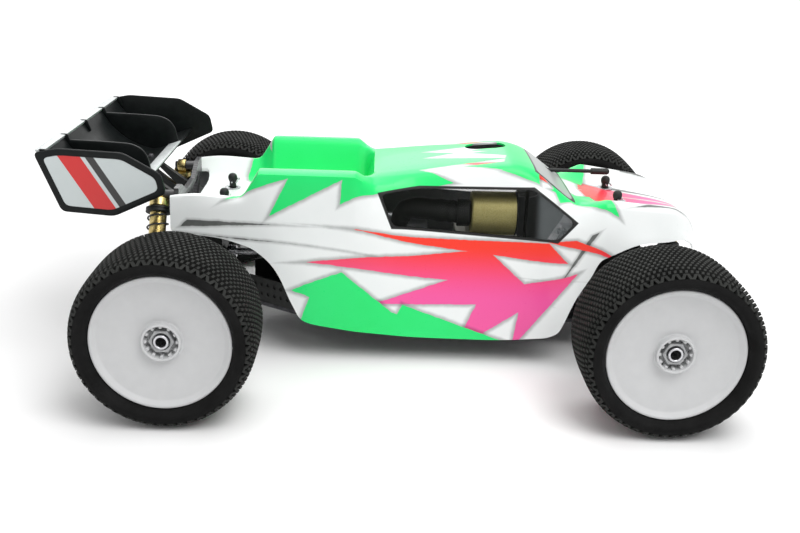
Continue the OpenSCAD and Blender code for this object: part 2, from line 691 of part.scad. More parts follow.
// Two struts from the rear tower to the wing's floor
module wing_mounts() {
    y = 23;
    foot_x = rear_x - tower_x - tower_t - seat;
    seat_z = FLOOR_SIDE[2][1] - wing_t - seat;
    strut = [[foot_x, 98], [foot_x, 124], [wing_at([-233, 0])[0], seat_z], [wing_at([-247, 0])[0], seat_z],
        [wing_at([-244, 0])[0], 138], [foot_x - 12, 112], [foot_x - 6, 98]];
    hole = [[foot_x - 6, 117], [wing_at([-231, 0])[0], 140], [wing_at([-238, 0])[0], 140]];
    color([0.03, 0.035, 0.035]) for (s = [-1, 1]) difference() {
        xz_plate(strut, s * y - 3, s * y + 3);
        xz_plate(hole, s * y - 4, s * y + 4);
    }
}

// Shell curves along the car: each is a list of [station, value]
MID_Z = [[-204, 120], [-45, 122], [-37, 156.5], [-5, 161], [45, 166], [80, 169.5], [99, 165], [134, 136],
    [158, 132.5], [185, 129], [215, 126], [232, 123], [243, 117], [250, 108], [252.6, 90]];
MID_Y = [[-204, 52], [-145, 52], [-131, 44], [-46, 44], [-37, 30], [148, 30], [185, 34], [215, 30],
    [228, 25.5], [238, 19.5], [246, 12], [252.6, 5]];
IN_Z = [[-204, 132], [-185, 135], [-141, 134], [-131, 158], [-52, 158], [-45, 154], [-37, 155.5], [-5, 159.5],
    [45, 164.5], [80, 168], [99, 163.5], [134, 135.5], [158, 138], [185, 135.5], [215, 132.5], [232, 126],
    [243, 116.5], [250, 106.5], [252.6, 89.5]];
IN_Y = [[-204, 62], [-141, 62], [-131, 55], [-50, 55], [-37, 44], [134, 44], [158, 50], [215, 48],
    [228, 37.5], [238, 28.5], [246, 17.5], [252.6, 7.5]];
TOP_Z = [[-204, 138], [-185, 141], [-145, 138], [-131, 162], [-52, 162], [-45, 157], [-37, 154.5], [-5, 157.5],
    [45, 163], [80, 166.5], [99, 162], [134, 138], [158, 143.5], [185, 140.5], [215, 137], [232, 128], [243, 115.5],
    [250, 105], [252.6, 89]];
TOP_Y = [[-204, 65], [-141, 65], [-131, 60], [-50, 60], [-37, 52], [113, 50], [158, 61], [215, 56],
    [228, 42.5], [238, 32.5], [246, 20.5], [252.6, 9]];
EDGE_Z = [[-204, 137], [-185, 140], [-145, 137], [-131, 160], [-52, 160], [-45, 155], [-37, 150], [-5, 148],
    [99, 148.5], [134, 137], [158, 141.5], [185, 138], [215, 134.5], [232, 125.5], [243, 113], [250, 103], [252.6, 88.5]];
EDGE_Y = [[-204, 68], [-131, 72], [-50, 73], [-37, 64], [-5, 57], [113, 57], [158, 67.5], [215, 61.5],
    [228, 48], [238, 36.5], [246, 23], [252.6, 10]];
BELT_Z = [[-204, 125], [-131, 138], [-50, 132], [-19, 117], [113, 108], [148, 124], [158, 128], [215, 123],
    [232, 113], [250, 97], [252.6, 88]];
BELT_Y = [[-204, 69.5], [-131, 74], [-50, 75], [-5, 66.5], [113, 66.5], [158, 73], [215, 65.5],
    [228, 54], [238, 40.5], [246, 25.5], [252.6, 11]];
FLANK_Y = [[-204, 70], [-131, 75], [-89, 79], [-5, 75], [113, 75], [158, 77], [215, 67],
    [228, 56.5], [238, 42.5], [246, 27], [252.6, 11.5]];
HEM_Y = [[-204, 70.5], [-131, 76], [-97, 82], [-89, 83], [134, 82], [185, 77], [215, 69],
    [228, 58], [238, 44], [246, 28], [252.6, 12]];
HEM_Z = [[-204, 107], [-163, 105], [-137, 97], [-121, 85], [-112, 71], [-106, 55], [-100, 44], [-97, 37], [-89, 33],
    [-50, 27], [0, 23], [75, 22], [113, 25], [122, 28], [126, 33], [134.5, 59], [149, 84], [153, 95], [185, 110],
    [228, 110], [243, 98], [252.6, 86]];
STATIONS = [-204, -185, -163, -145, -137, -131, -121, -112, -106, -100, -97, -89, -70, -52, -45, -37, -19, -5, 20, 45,
    65, 80, 99, 113, 122, 126, 134.5, 141, 148, 153, 158, 170, 185, 200, 215, 224, 232, 238, 243, 247, 250, 252.6];

// Half section of the shell at a station, from the middle to the hem
function half_section(x) = let (belt = lookup(x, BELT_Z), hem = lookup(x, HEM_Z)) [
    [0, lookup(x, MID_Z)],
    [lookup(x, MID_Y), lookup(x, MID_Z) - 0.5],
    [lookup(x, IN_Y), lookup(x, IN_Z)],
    [lookup(x, TOP_Y), lookup(x, TOP_Z)],
    [lookup(x, EDGE_Y), lookup(x, EDGE_Z)],
    [lookup(x, BELT_Y), belt],
    [lookup(x, FLANK_Y), belt + (hem - belt) * 0.4],
    [(lookup(x, FLANK_Y) + 2 * lookup(x, HEM_Y)) / 3, belt + (hem - belt) * 0.75],
    [lookup(x, HEM_Y), hem]];
function section(x) = let (h = half_section(x), n = len(h) - 1) [for (j = [-n : n])
    [car_x(x), (j < 0 ? -1 : 1) * h[abs(j)][0], h[abs(j)][1]]];

// Closed shell: the outer skin, the same skin moved in, and the rims between them
module shell_skin() {
    outer = [for (x = STATIONS) section(x)];
    rows = len(outer) - 1;
    cols = len(outer[0]) - 1;
    function normal(i, j) = let (
        along = outer[min(i + 1, rows)][j] - outer[max(i - 1, 0)][j],
        across = outer[i][min(j + 1, cols)] - outer[i][max(j - 1, 0)],
        n = cross(along, across)) n / norm(n);
    inner = [for (i = [0 : rows]) [for (j = [0 : cols]) outer[i][j] - shell_t * normal(i, j)]];
    points = [for (side = [outer, inner]) for (row = side) for (p = row) p];
    wide = cols + 1;
    skin = (rows + 1) * wide;
    function at(s, i, j) = s * skin + i * wide + j;
    function quad(a, b, c, d) = [[a, b, c], [a, c, d]];
    faces = concat(
        [for (i = [0 : rows - 1]) for (j = [0 : cols - 1])
            for (f = quad(at(0, i, j), at(0, i, j + 1), at(0, i + 1, j + 1), at(0, i + 1, j))) f],
        [for (i = [0 : rows - 1]) for (j = [0 : cols - 1])
            for (f = quad(at(1, i, j), at(1, i + 1, j), at(1, i + 1, j + 1), at(1, i, j + 1))) f],
        [for (i = [0 : rows - 1]) for (f = quad(at(0, i, 0), at(0, i + 1, 0), at(1, i + 1, 0), at(1, i, 0))) f],
        [for (i = [0 : rows - 1])
            for (f = quad(at(0, i, cols), at(1, i, cols), at(1, i + 1, cols), at(0, i + 1, cols))) f],
        [for (j = [0 : cols - 1]) for (f = quad(at(0, 0, j), at(1, 0, j), at(1, 0, j + 1), at(0, 0, j + 1))) f],
        [for (j = [0 : cols - 1])
            for (f = quad(at(0, rows, j), at(0, rows, j + 1), at(1, rows, j + 1), at(1, rows, j))) f]);
    polyhedron(points = points, faces = faces);
}

// Painted shell with holes for the posts, the antenna, the filler and the engine's head
module body_shell() {
    notch_half = 59;
    roof_hole_l = 12;
    roof_hole_r = 12.3;
    roof_hole_y = 21.8;
    color([0.1, 0.9, 0.45]) difference() {
        shell_skin();
        for (p = [FRONT_POST, REAR_POST]) for (s = [-1, 1])
            translate([car_x(p[0]), s * p[1], 100]) cylinder(r = post_r + 1, h = 60);
        x_rod(antenna_r + 1.5, car_x(108), car_x(150), antenna_y, antenna_z);
        for (s = [-1, 1]) translate([car_x(62.4) + s * roof_hole_l / 2, roof_hole_y, 150])
            cylinder(r = roof_hole_r, h = 40);
        translate([car_x(62.4) - roof_hole_l / 2, roof_hole_y - roof_hole_r, 150])
            cube([roof_hole_l, 2 * roof_hole_r, 40]);
        box([car_x(-72), -22, 100], [car_x(-52), 22, 140]);
        box([car_x(-210), -notch_half, 100], [car_x(-192), notch_half, 150]);
    }
}

// Four posts with round heads, on brackets over the gearboxes
module body_posts() {
    bracket_z = up_z + 4 + seat;
    bracket_t = 3;
    color([0.03, 0.03, 0.03]) for (p = [FRONT_POST, REAR_POST]) {
        x = car_x(p[0]);
        inward = p[0] > 0 ? front_x - 4 : rear_x + 4;
        box([min(x - 5, inward), -p[1] - 5, bracket_z], [max(x + 5, inward), p[1] + 5, bracket_z + bracket_t]);
        for (s = [-1, 1]) difference() {
            union() {
                translate([x, s * p[1], bracket_z]) cylinder(r = post_r, h = p[2] - bracket_z - post_r);
                translate([x, s * p[1], p[2] - post_r]) sphere(r = post_r);
                translate([x, s * p[1], bracket_z]) cylinder(r = post_r + 2, h = p[2] - bracket_z - 14);
            }
            y_rod(clip_r + 0.1, s * p[1] - 6, s * p[1] + 6, x, p[2] - clip_drop);
        }
    }
}

// Hinge pins, body clips and the idler's post
module fasteners() {
    pin_half = arm_half + gap + holder_t + 1;
    color([0.6, 0.6, 0.62]) {
        for (c = CORNERS) at_corner(c) x_rod(pin_r, -pin_half, pin_half, arm_in_y, low_z);
        for (p = [FRONT_POST, REAR_POST]) for (s = [0, 1]) mirror([0, s, 0])
            translate([car_x(p[0]), p[1], p[2] - clip_drop]) {
                for (x = [0, post_r + 1.2]) y_rod(clip_r, -7, 7, x, 0);
                box([-1.2, 6.5, -0.9], [post_r + 2.4, 8.5, 0.9]);
            }
        translate([front_x + crank_x, -crank_y, plate_top + seat]) cylinder(r = 3, h = 62 - plate_top);
        translate([front_x + crank_x, -crank_y, plate_top + seat]) cylinder(r = 6, h = 51 - plate_top);
    }
}

// Toothed wheel along X with straight-flanked teeth
module gear(teeth, width, phase) {
    r = teeth * gear_module / 2;
    step = 360 / teeth;
    points = [for (i = [0 : teeth - 1]) for (k = [[-0.30, -1.1], [-0.13, 0.8], [0.13, 0.8], [0.30, -1.1]])
        let (a = phase + (i + k[0]) * step, q = r + k[1] * gear_module) [q * cos(a), q * sin(a)]];
    yz_plate(points, 0, width);
}

// Spur gear on the centre differential, with a shaft to each gearbox
module center_drive() {
    reach = 6;
    spur_phase = 180 + mesh_angle;
    color([0.3, 0.3, 0.32]) translate([0, 0, axle_z]) {
        translate([spur_x, 0, 0]) gear(spur_teeth, spur_w, spur_phase);
        x_rod(13, spur_x - 10, spur_x + spur_w + 11, 0, 0);
        x_rod(shaft_r, rear_x + case_back - reach, front_x - case_back + reach, 0, 0);
        for (x = [rear_x + case_back + 2, front_x - case_back - 10]) x_rod(shaft_r + 2.5, x, x + 8, 0, 0);
    }
}

// Clutch bell on the engine's crankshaft
module clutch_bell() {
    bell_phase = mesh_angle + 180 / bell_teeth;
    color([0.5, 0.5, 0.52]) translate([0, bell_y, bell_z]) difference() {
        union() {
            translate([spur_x, 0, 0]) gear(bell_teeth, spur_w, bell_phase);
            x_rod(12, spur_x - 12, spur_x - 2, 0, 0);
            x_rod(bell_r - 1.2, spur_x - 3, spur_x + 1, 0, 0);
        }
        x_rod(3.5 + fit, spur_x - 13, spur_x + spur_w + 1, 0, 0);
    }
}

// Glow engine: crankcase on two mounts, finned cooling head and crankshaft
module engine() {
    back = spur_x - 72;
    head_x = spur_x - 48;
    fin_n = 6;
    fin_pitch = 5;
    color([0.6, 0.61, 0.63]) translate([0, bell_y, bell_z]) {
        x_rod(15, back, spur_x - 22, 0, 0);
        x_rod(9, spur_x - 24, spur_x - 17, 0, 0);
        x_rod(3.5, spur_x - 18, spur_x + spur_w + 2, 0, 0);
        for (y = [-15, 9]) translate([back + 8, y, plate_top - bell_z + seat]) cube([34, 6, bell_z - plate_top - 2]);
        translate([head_x, 0, 0]) {
            cylinder(r = 14, h = 38);
            for (i = [0 : fin_n - 1]) translate([0, 0, 22 + i * fin_pitch]) cylinder(r = 19, h = 2.4);
            translate([0, 0, 22]) cylinder(r = 15, h = (fin_n - 1) * fin_pitch + 2.4);
        }
        translate([spur_x - 24, -6, 10]) cube([11, 12, 22]);
    }
}

// Round air filter on a rubber elbow over the carburettor
module air_filter() {
    drum_x = car_x(47);
    drum_y = -38;
    drum_z = 122;
    carb_x = spur_x - 18;
    color([0.66, 0.55, 0.27]) x_rod(17.5, drum_x, drum_x + 36, drum_y, drum_z);
    color([0.05, 0.05, 0.05]) {
        x_rod(19, drum_x + 36 + seat, drum_x + 41, drum_y, drum_z);
        translate([carb_x, bell_y, bell_z + 32 + seat]) cylinder(r = 7, h = drum_z - bell_z - 32 - seat);
        translate([carb_x, bell_y, drum_z]) sphere(r = 10);
        translate([carb_x, bell_y, drum_z]) rotate([0, 90, atan2(drum_y - bell_y, drum_x - carb_x)])
            cylinder(r = 9, h = norm([drum_y - bell_y, drum_x - carb_x]) - 6);
        x_rod(12, drum_x - 12, drum_x - seat, drum_y, drum_z);
    }
}

// Fuel tank with a round filler cap under the roof's hole
module fuel_tank() {
    top_z = 86;
    cap_x = car_x(62);
    cap_y = 28;
    cap_h = 8;
    color([0.75, 0.75, 0.72]) {
        box([car_x(40), 12, plate_top + seat], [car_x(96), bay_y, top_z]);
        translate([cap_x, cap_y, top_z + seat]) cylinder(r = 13, h = cap_h);
        translate([cap_x, cap_y, top_z + cap_h + seat]) cylinder(r = 10, h = 5);
    }
}

// Header and tuned pipe along the left side
module exhaust_pipe() {
    pipe_y = 42;
    pipe_z = 84;
    port = [spur_x - 71, bell_y, bell_z + 4];
    route = [port, [spur_x - 92, bell_y, 82], [spur_x - 96, 20, 88], [spur_x - 84, pipe_y - 2, pipe_z]];
    color([0.55, 0.56, 0.58]) {
        for (i = [0 : len(route) - 2]) {
            d = route[i + 1] - route[i];
            translate(route[i]) rotate([0, acos(d[2] / norm(d)), atan2(d[1], d[0])]) cylinder(r = 6, h = norm(d));
            translate(route[i + 1]) sphere(r = 6.4);
        }
        x_rod(12, spur_x - 80, spur_x + 10, pipe_y, pipe_z);
        x_rod(8, spur_x - 88, spur_x - 80, pipe_y, pipe_z);
        translate([spur_x - 3, pipe_y, plate_top + seat]) cylinder(r = 4, h = pipe_z - plate_top - 8);
    }
}

// Steering servo, throttle servo and receiver box
module radio_gear() {
    x = front_x + crank_x;
    near = crank_y - 10;
    color([0.08, 0.08, 0.09]) {
        box([x - servo_w / 2, near, plate_top + seat], [x + servo_w / 2, near + servo_l, 51.2]);
        translate([x, crank_y, 50]) cylinder(r = 3, h = 12);
        box([car_x(48), -bay_y, plate_top + seat], [car_x(48) + servo_l, servo_w - bay_y, 66]);
        box([car_x(-66), 16, plate_top + seat], [car_x(-12), bay_y, 64]);
    }
}

// Antenna mast from the plate, turned forward through the windscreen, with a round tip
module antenna() {
    x0 = car_x(104);
    tip = car_x(160);
    end = car_x(178);
    color([0.03, 0.03, 0.03]) {
        translate([x0, antenna_y, plate_top + seat]) cylinder(r = 4, h = 10);
        translate([x0, antenna_y, plate_top + seat]) cylinder(r = antenna_r, h = antenna_z - plate_top - seat);
        translate([x0, antenna_y, antenna_z]) sphere(r = antenna_r);
        x_rod(antenna_r, x0, tip, antenna_y, antenna_z);
        x_rod(antenna_r + 1.2, tip, end - 4, antenna_y, antenna_z);
        translate([end - 4, antenna_y, antenna_z]) sphere(r = antenna_r + 1.2);
    }
}

// Each piece is drawn at its lifted height
module up() {
    translate([0, 0, lift]) children();
}

for (c = CORNERS) {
    up() at_corner(c) lower_arm();
    up() at_corner(c) upper_link();
    up() at_corner(c) drive_shaft();
    up() at_corner(c) shock_body(c[1]);
    up() at_corner(c) shock_shaft(c[1]);
    up() at_corner(c) shock_spring(c[1]);
    up() at_corner(c) wheel();
    up() at_corner(c) tyre();
}
up() at_corner(CORNERS[0]) caster_block();  // caster_block_left
up() at_corner(CORNERS[1]) caster_block();  // caster_block_right
up() at_corner(CORNERS[0]) steering_knuckle();  // steering_knuckle_left
up() at_corner(CORNERS[1]) steering_knuckle();  // steering_knuckle_right
up() at_corner(CORNERS[2]) hub_carrier();  // hub_carrier_left
up() at_corner(CORNERS[3]) hub_carrier();  // hub_carrier_right
up() at_corner(CORNERS[0]) tie_rod();  // tie_rod_left
up() at_corner(CORNERS[1]) tie_rod();  // tie_rod_right
up() servo_saver();
up() idler_arm();
up() steering_plate();
up() center_drive();
up() clutch_bell();
up() chassis_plate();
up() plastic_guards();
up() gearbox_cases();
up() shock_towers();
up() wing();
up() wing_mounts();
up() body_shell();
up() body_posts();
up() fasteners();
up() engine();
up() air_filter();
up() fuel_tank();
up() exhaust_pipe();
up() radio_gear();
up() antenna();
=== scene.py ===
"""Radio-controlled off-road truck: the looks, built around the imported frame."""
import json
import math

import bmesh
import bpy
from mathutils import Matrix, Vector


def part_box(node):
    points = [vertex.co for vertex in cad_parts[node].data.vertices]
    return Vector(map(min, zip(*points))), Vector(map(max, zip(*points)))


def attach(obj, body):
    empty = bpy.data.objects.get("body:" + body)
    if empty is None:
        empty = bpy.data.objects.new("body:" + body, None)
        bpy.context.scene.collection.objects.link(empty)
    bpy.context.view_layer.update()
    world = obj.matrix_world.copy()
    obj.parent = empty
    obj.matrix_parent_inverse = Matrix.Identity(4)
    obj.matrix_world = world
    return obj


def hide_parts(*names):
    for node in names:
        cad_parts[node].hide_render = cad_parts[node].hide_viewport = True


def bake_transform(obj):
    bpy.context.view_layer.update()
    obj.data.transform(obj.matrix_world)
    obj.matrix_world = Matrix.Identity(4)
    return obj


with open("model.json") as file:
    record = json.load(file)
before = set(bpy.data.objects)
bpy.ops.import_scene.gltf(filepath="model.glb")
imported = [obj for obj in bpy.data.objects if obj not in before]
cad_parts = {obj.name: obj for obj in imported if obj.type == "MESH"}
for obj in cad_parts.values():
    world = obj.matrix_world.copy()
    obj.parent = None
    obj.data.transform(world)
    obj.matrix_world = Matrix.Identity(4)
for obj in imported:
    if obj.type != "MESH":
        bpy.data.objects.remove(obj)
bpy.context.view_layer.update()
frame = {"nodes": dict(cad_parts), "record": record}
MM = 0.001
PER_METRE = 1000.0

# Name, end (front 1, rear -1) and side (left 1, right -1)
CORNERS = [("front_left", 1, 1), ("front_right", 1, -1), ("rear_left", -1, 1), ("rear_right", -1, -1)]


def centre_of(node):
    low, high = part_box(node)
    return (low + high) / 2 / MM


AXLE_X = {1: centre_of("tyre_front_left").x, -1: centre_of("tyre_rear_left").x}
AXLE_Z = centre_of("tyre_front_left").z
WHEEL_Y = centre_of("tyre_front_left").y
# The tables below are in millimetres: stations count from the middle of the wheelbase, and heights
# are for an axle at TABLE_AXLE_Z
MID_X = (AXLE_X[1] + AXLE_X[-1]) / 2
TABLE_AXLE_Z = 68
LIFT = AXLE_Z - TABLE_AXLE_Z


class Mat:
    """A node material: short calls that add nodes and return their output sockets."""

    def __init__(self, name, **sockets):
        self.material = bpy.data.materials.new(name)
        self.material.use_nodes = True
        self.tree = self.material.node_tree
        self.shader = self.tree.nodes["Principled BSDF"]
        self.coord = self.add("ShaderNodeTexCoord").outputs["Object"]
        for socket, value in sockets.items():
            self.put(self.shader.inputs[socket.replace("_", " ")], value)

    def add(self, kind, **props):
        node = self.tree.nodes.new(kind)
        for key, value in props.items():
            setattr(node, key, value)
        return node

    def put(self, socket, value):
        if isinstance(value, bpy.types.NodeSocket):
            self.tree.links.new(value, socket)
        elif isinstance(value, (tuple, list)) and socket.type == "RGBA":
            socket.default_value = (*value, 1)[:4]
        else:
            socket.default_value = value

    def set(self, socket, value):
        self.put(self.shader.inputs[socket], value)

    def math(self, op, *values, clamp=False):
        node = self.add("ShaderNodeMath", operation=op, use_clamp=clamp)
        for socket, value in zip(node.inputs, values):
            self.put(socket, value)
        return node.outputs[0]

    def vector(self, op, a, b=None):
        node = self.add("ShaderNodeVectorMath", operation=op)
        self.put(node.inputs[0], a)
        if b is not None:
            self.put(node.inputs[1], b)
        return node.outputs["Value" if op in ("DOT_PRODUCT", "LENGTH") else "Vector"]

    def axes(self):
        node = self.add("ShaderNodeSeparateXYZ")
        self.put(node.inputs[0], self.coord)
        return node.outputs

    def noise(self, scale, detail=4.0, rough=0.55, stretch=None):
        where = self.vector("MULTIPLY", self.coord, stretch) if stretch else self.coord
        node = self.add("ShaderNodeTexNoise")
        self.put(node.inputs["Vector"], where)
        for key, value in (("Scale", scale), ("Detail", detail), ("Roughness", rough)):
            node.inputs[key].default_value = value
        return node.outputs["Fac"]

    def cells(self, scale):
        node = self.add("ShaderNodeTexVoronoi", feature="F1")
        self.put(node.inputs["Vector"], self.coord)
        node.inputs["Scale"].default_value = scale
        return node.outputs["Distance"]

    def span(self, value, a, b, lo=0.0, hi=1.0, smooth=False):
        node = self.add("ShaderNodeMapRange", clamp=True)
        if smooth:
            node.interpolation_type = "SMOOTHSTEP"
        for socket, v in zip(node.inputs, (value, a, b, lo, hi)):
            self.put(socket, v)
        return node.outputs[0]

    def mix(self, fac, a, b):
        node = self.add("ShaderNodeMix", data_type="RGBA")
        self.put(node.inputs["Factor"], fac)
        self.put(node.inputs[6], a)
        self.put(node.inputs[7], b)
        return node.outputs[2]

    def bump(self, height, strength, depth):
        node = self.add("ShaderNodeBump")
        node.inputs["Strength"].default_value = strength
        node.inputs["Distance"].default_value = depth
        self.put(node.inputs["Height"], height)
        self.set("Normal", node.outputs[0])


def surface(name, dark, light, rough, grain, depth, metal=0.0, wear=None, stretch=None, **sockets):
    """A finish with mottled colour, uneven gloss, a fine grain and, where asked, paler scuffs.

    The grain is in cycles per metre, its depth in metres.
    """
    m = Mat(name, Metallic=metal, **sockets)
    cloud = m.noise(grain * 0.12, 3)
    fine = m.noise(grain, 5, 0.6, stretch)
    colour = m.mix(m.span(cloud, 0.3, 0.7), dark, light)
    if wear:
        scuff = m.math("MULTIPLY", m.span(m.noise(grain * 0.35, 6, 0.7), 0.58, 0.72), m.span(fine, 0.4, 0.7))
        colour = m.mix(m.math("MULTIPLY", scuff, 0.5), colour, wear)
    m.set("Base Color", colour)
    m.set("Roughness", m.span(fine, 0.25, 0.75, rough[0], rough[1]))
    m.bump(fine, 0.35, depth)
    return m.material


MOULDED = surface("moulded_black", (0.006, 0.007, 0.0065), (0.012, 0.014, 0.013), (0.42, 0.62), 1500, 0.0002,
                  wear=(0.04, 0.042, 0.04), Specular_IOR_Level=0.3)
BLACK_STEEL = surface("black_steel", (0.03, 0.03, 0.032), (0.07, 0.07, 0.075), (0.28, 0.45), 1200, 0.0001,
                      metal=1.0, wear=(0.3, 0.3, 0.31))
BRIGHT_STEEL = surface("bright_steel", (0.42, 0.42, 0.44), (0.62, 0.62, 0.64), (0.2, 0.38), 1600, 0.00008,
                       metal=1.0, stretch=(0.2, 1, 1))
GOLD = surface("gold_anodised", (0.50, 0.39, 0.15), (0.66, 0.54, 0.25), (0.22, 0.36), 1400, 0.00006,
               metal=1.0)
SPRING = surface("spring_black", (0.012, 0.012, 0.013), (0.03, 0.03, 0.032), (0.3, 0.45), 1500, 0.0001,
                 wear=(0.12, 0.12, 0.12))
RIM = surface("white_rim", (0.575, 0.58, 0.585), (0.60, 0.605, 0.61), (0.42, 0.55), 900, 0.00005,
              Specular_IOR_Level=0.3)
ALLOY = surface("grey_alloy", (0.38, 0.39, 0.41), (0.52, 0.53, 0.55), (0.28, 0.42), 1500, 0.0001,
                metal=1.0, stretch=(1, 0.15, 1))
DARK_ALLOY = surface("dark_alloy", (0.05, 0.05, 0.055), (0.09, 0.09, 0.097), (0.35, 0.5), 1300, 0.0001,
                     metal=1.0, wear=(0.4, 0.4, 0.41))
WING_BLACK = surface("wing_black", (0.004, 0.005, 0.005), (0.008, 0.010, 0.010), (0.3, 0.46), 1000, 0.00015,
                     wear=(0.03, 0.03, 0.03), Specular_IOR_Level=0.16)
TRIM_WHITE = surface("trim_white", (0.52, 0.55, 0.55), (0.64, 0.67, 0.67), (0.3, 0.45), 900, 0.0001)
CAST = surface("cast_alloy", (0.4, 0.4, 0.42), (0.58, 0.58, 0.6), (0.38, 0.6), 900, 0.0003, metal=1.0)
TANK = surface("tank_plastic", (0.6, 0.59, 0.53), (0.72, 0.71, 0.65), (0.3, 0.42), 700, 0.0001)
RADIO = surface("radio_black", (0.060, 0.068, 0.070), (0.085, 0.095, 0.098), (0.4, 0.55), 1700, 0.0001)
GUARD = surface("guard_grey", (0.024, 0.025, 0.024), (0.036, 0.038, 0.036), (0.5, 0.7), 1500, 0.0002,
                wear=(0.06, 0.06, 0.058), Specular_IOR_Level=0.3)
NUT = surface("nut_alloy", (0.28, 0.285, 0.29), (0.38, 0.385, 0.39), (0.3, 0.44), 1500, 0.0001, metal=0.4)
# Black for the bottom of the axles' bores: painted shade in the holes
BORE_SHADE = surface("bore_painted_shade", (0.004, 0.004, 0.004), (0.008, 0.008, 0.008), (0.6, 0.8), 900, 0.0001)


def foam():
    m = Mat("filter_gold", Roughness=0.5, Metallic=0.35)
    pores = m.cells(900)
    cloud = m.noise(90)
    mesh_gold = m.mix(cloud, (0.50, 0.44, 0.16), (0.60, 0.54, 0.22))
    m.set("Base Color", m.mix(m.span(pores, 0.1, 0.55), (0.40, 0.34, 0.11), mesh_gold))
    m.bump(pores, 0.35, 0.0003)
    return m.material


def carbon():
    m = Mat("carbon_plate", Coat_Weight=0.4, Coat_Roughness=0.12)
    split = m.axes()
    tow = 900.0
    a = m.math("FLOOR", m.math("MULTIPLY", split["Y"], tow))
    b = m.math("FLOOR", m.math("MULTIPLY", split["Z"], tow))
    over = m.math("LESS_THAN", m.math("FLOORED_MODULO", m.math("ADD", a, b), 4.0), 1.5)
    m.set("Base Color", m.mix(over, (0.012, 0.012, 0.013), (0.035, 0.035, 0.038)))
    m.set("Roughness", m.span(over, 0, 1, 0.5, 0.32))
    m.bump(over, 0.25, 0.00015)
    return m.material


def rubber(name, dark, light, shine):
    m = Mat(name, Specular_IOR_Level=shine)
    fine = m.noise(1400, 5, 0.65)
    cloud = m.noise(60, 4)
    colour = m.mix(m.span(cloud, 0.3, 0.7), dark, light)
    dust = m.math("MULTIPLY", m.span(fine, 0.55, 0.75), m.span(m.noise(25, 3), 0.45, 0.7))
    m.set("Base Color", m.mix(m.math("MULTIPLY", dust, 0.25), colour, (0.07, 0.068, 0.062)))
    m.set("Roughness", m.span(fine, 0.3, 0.7, 0.62, 0.85))
    m.bump(fine, 0.4, 0.0003)
    return m.material


FOAM, CARBON = foam(), carbon()
# The tyre's skin, its sidewalls and the floor between the pins, takes a darker rubber than the pins: partly
# painted shade in the gaps between the pins, partly paler, dusty pin tops
RUBBER = rubber("tyre_rubber", (0.004, 0.004, 0.004), (0.009, 0.009, 0.009), 0.1)
TREAD = rubber("tread_rubber", (0.014, 0.015, 0.014), (0.025, 0.026, 0.024), 0.2)

# Shell paint: spikes of colour on white, each point a station and an unrolled height, which is
# the distance from the middle less the height over 100 mm, so it grows down the flank
GREEN_SPIKES = [
    [(-133, -90), (-6, -90), (-6, 14), (-133, 14)],
    [(-133, 6), (-96, 12), (-158, 34)],
    [(-104, 10), (-52, 10), (-122, 50)],
    [(-62, 8), (-8, 8), (-64, 38)],
    [(-8, -90), (-8, -44), (52, -74)],
    [(-8, -52), (-8, -12), (78, -40)],
    [(-8, -20), (-8, 14), (30, 3)],
    [(84, -90), (102, -90), (102, 0), (70, -12)],
    [(48, -62), (92, -78), (92, -44)],
    [(40, -20), (90, -34), (90, -8)],
    [(104, -34), (156, 4), (120, 20)],
    [(112, 4), (152, -14), (168, 40)],
    [(-104, 118), (-62, 100), (22, 170)],
    [(-98, 152), (-84, 112), (70, 168)],
    [(-30, 170), (-10, 128), (84, 164)],
]
RED_SPIKES = [
    [(-52, 60), (112, 62), (128, 84)],
    [(-92, 92), (60, 70), (96, 108)],
    [(-34, 128), (70, 84), (112, 124)],
    [(34, 172), (62, 100), (116, 112)],
    [(84, 168), (92, 104), (136, 96)],
    [(110, 60), (134, 62), (176, 88)],
    [(146, -34), (150, -4), (236, -20)],
    [(150, -40), (148, -26), (214, -34)],
    [(28, -30), (96, -26), (110, -4)],
]
GREY_SPIKES = [
    [(146, 58), (152, 56), (118, 112)],
    [(196, 18), (238, 16), (182, 26)],
    [(-190, 52), (-118, 58), (-196, 58)],
    [(-176, 66), (-96, 76), (-150, 70)],
    [(168, -6), (240, -8), (176, 2)],
]
SIDE_WINDOW = [(-30.6, 142.9), (-19.8, 117.1), (118.2, 107.8), (132.1, 123.3), (97.2, 148.3),
               (1.6, 147.3)]
WINDSCREEN = [(101, -43), (132, -49), (132, 49), (101, 43)]


def anticlockwise(points):
    area = sum(a[0] * b[1] - b[0] * a[1] for a, b in zip(points, points[1:] + points[:1]))
    return points if area > 0 else points[::-1]


def depth_in(m, place, points):
    """How far a place lies inside a convex outline, in millimetres: less than zero outside."""
    depth = None
    points = anticlockwise(points)
    for a, b in zip(points, points[1:] + points[:1]):
        way = Vector((b[0] - a[0], b[1] - a[1])).normalized()
        edge = m.vector("DOT_PRODUCT", place, (-way.y, way.x, way.y * a[0] - way.x * a[1]))
        depth = edge if depth is None else m.math("MINIMUM", depth, edge)
    return depth


def deepest(m, place, shapes):
    depth = None
    for points in shapes:
        d = depth_in(m, place, points)
        depth = d if depth is None else m.math("MAXIMUM", depth, d)
    return depth


def flat_place(m, u, v):
    node = m.add("ShaderNodeCombineXYZ")
    for socket, value in zip(node.inputs, (u, v, 1.0)):
        m.put(socket, value)
    return node.outputs[0]


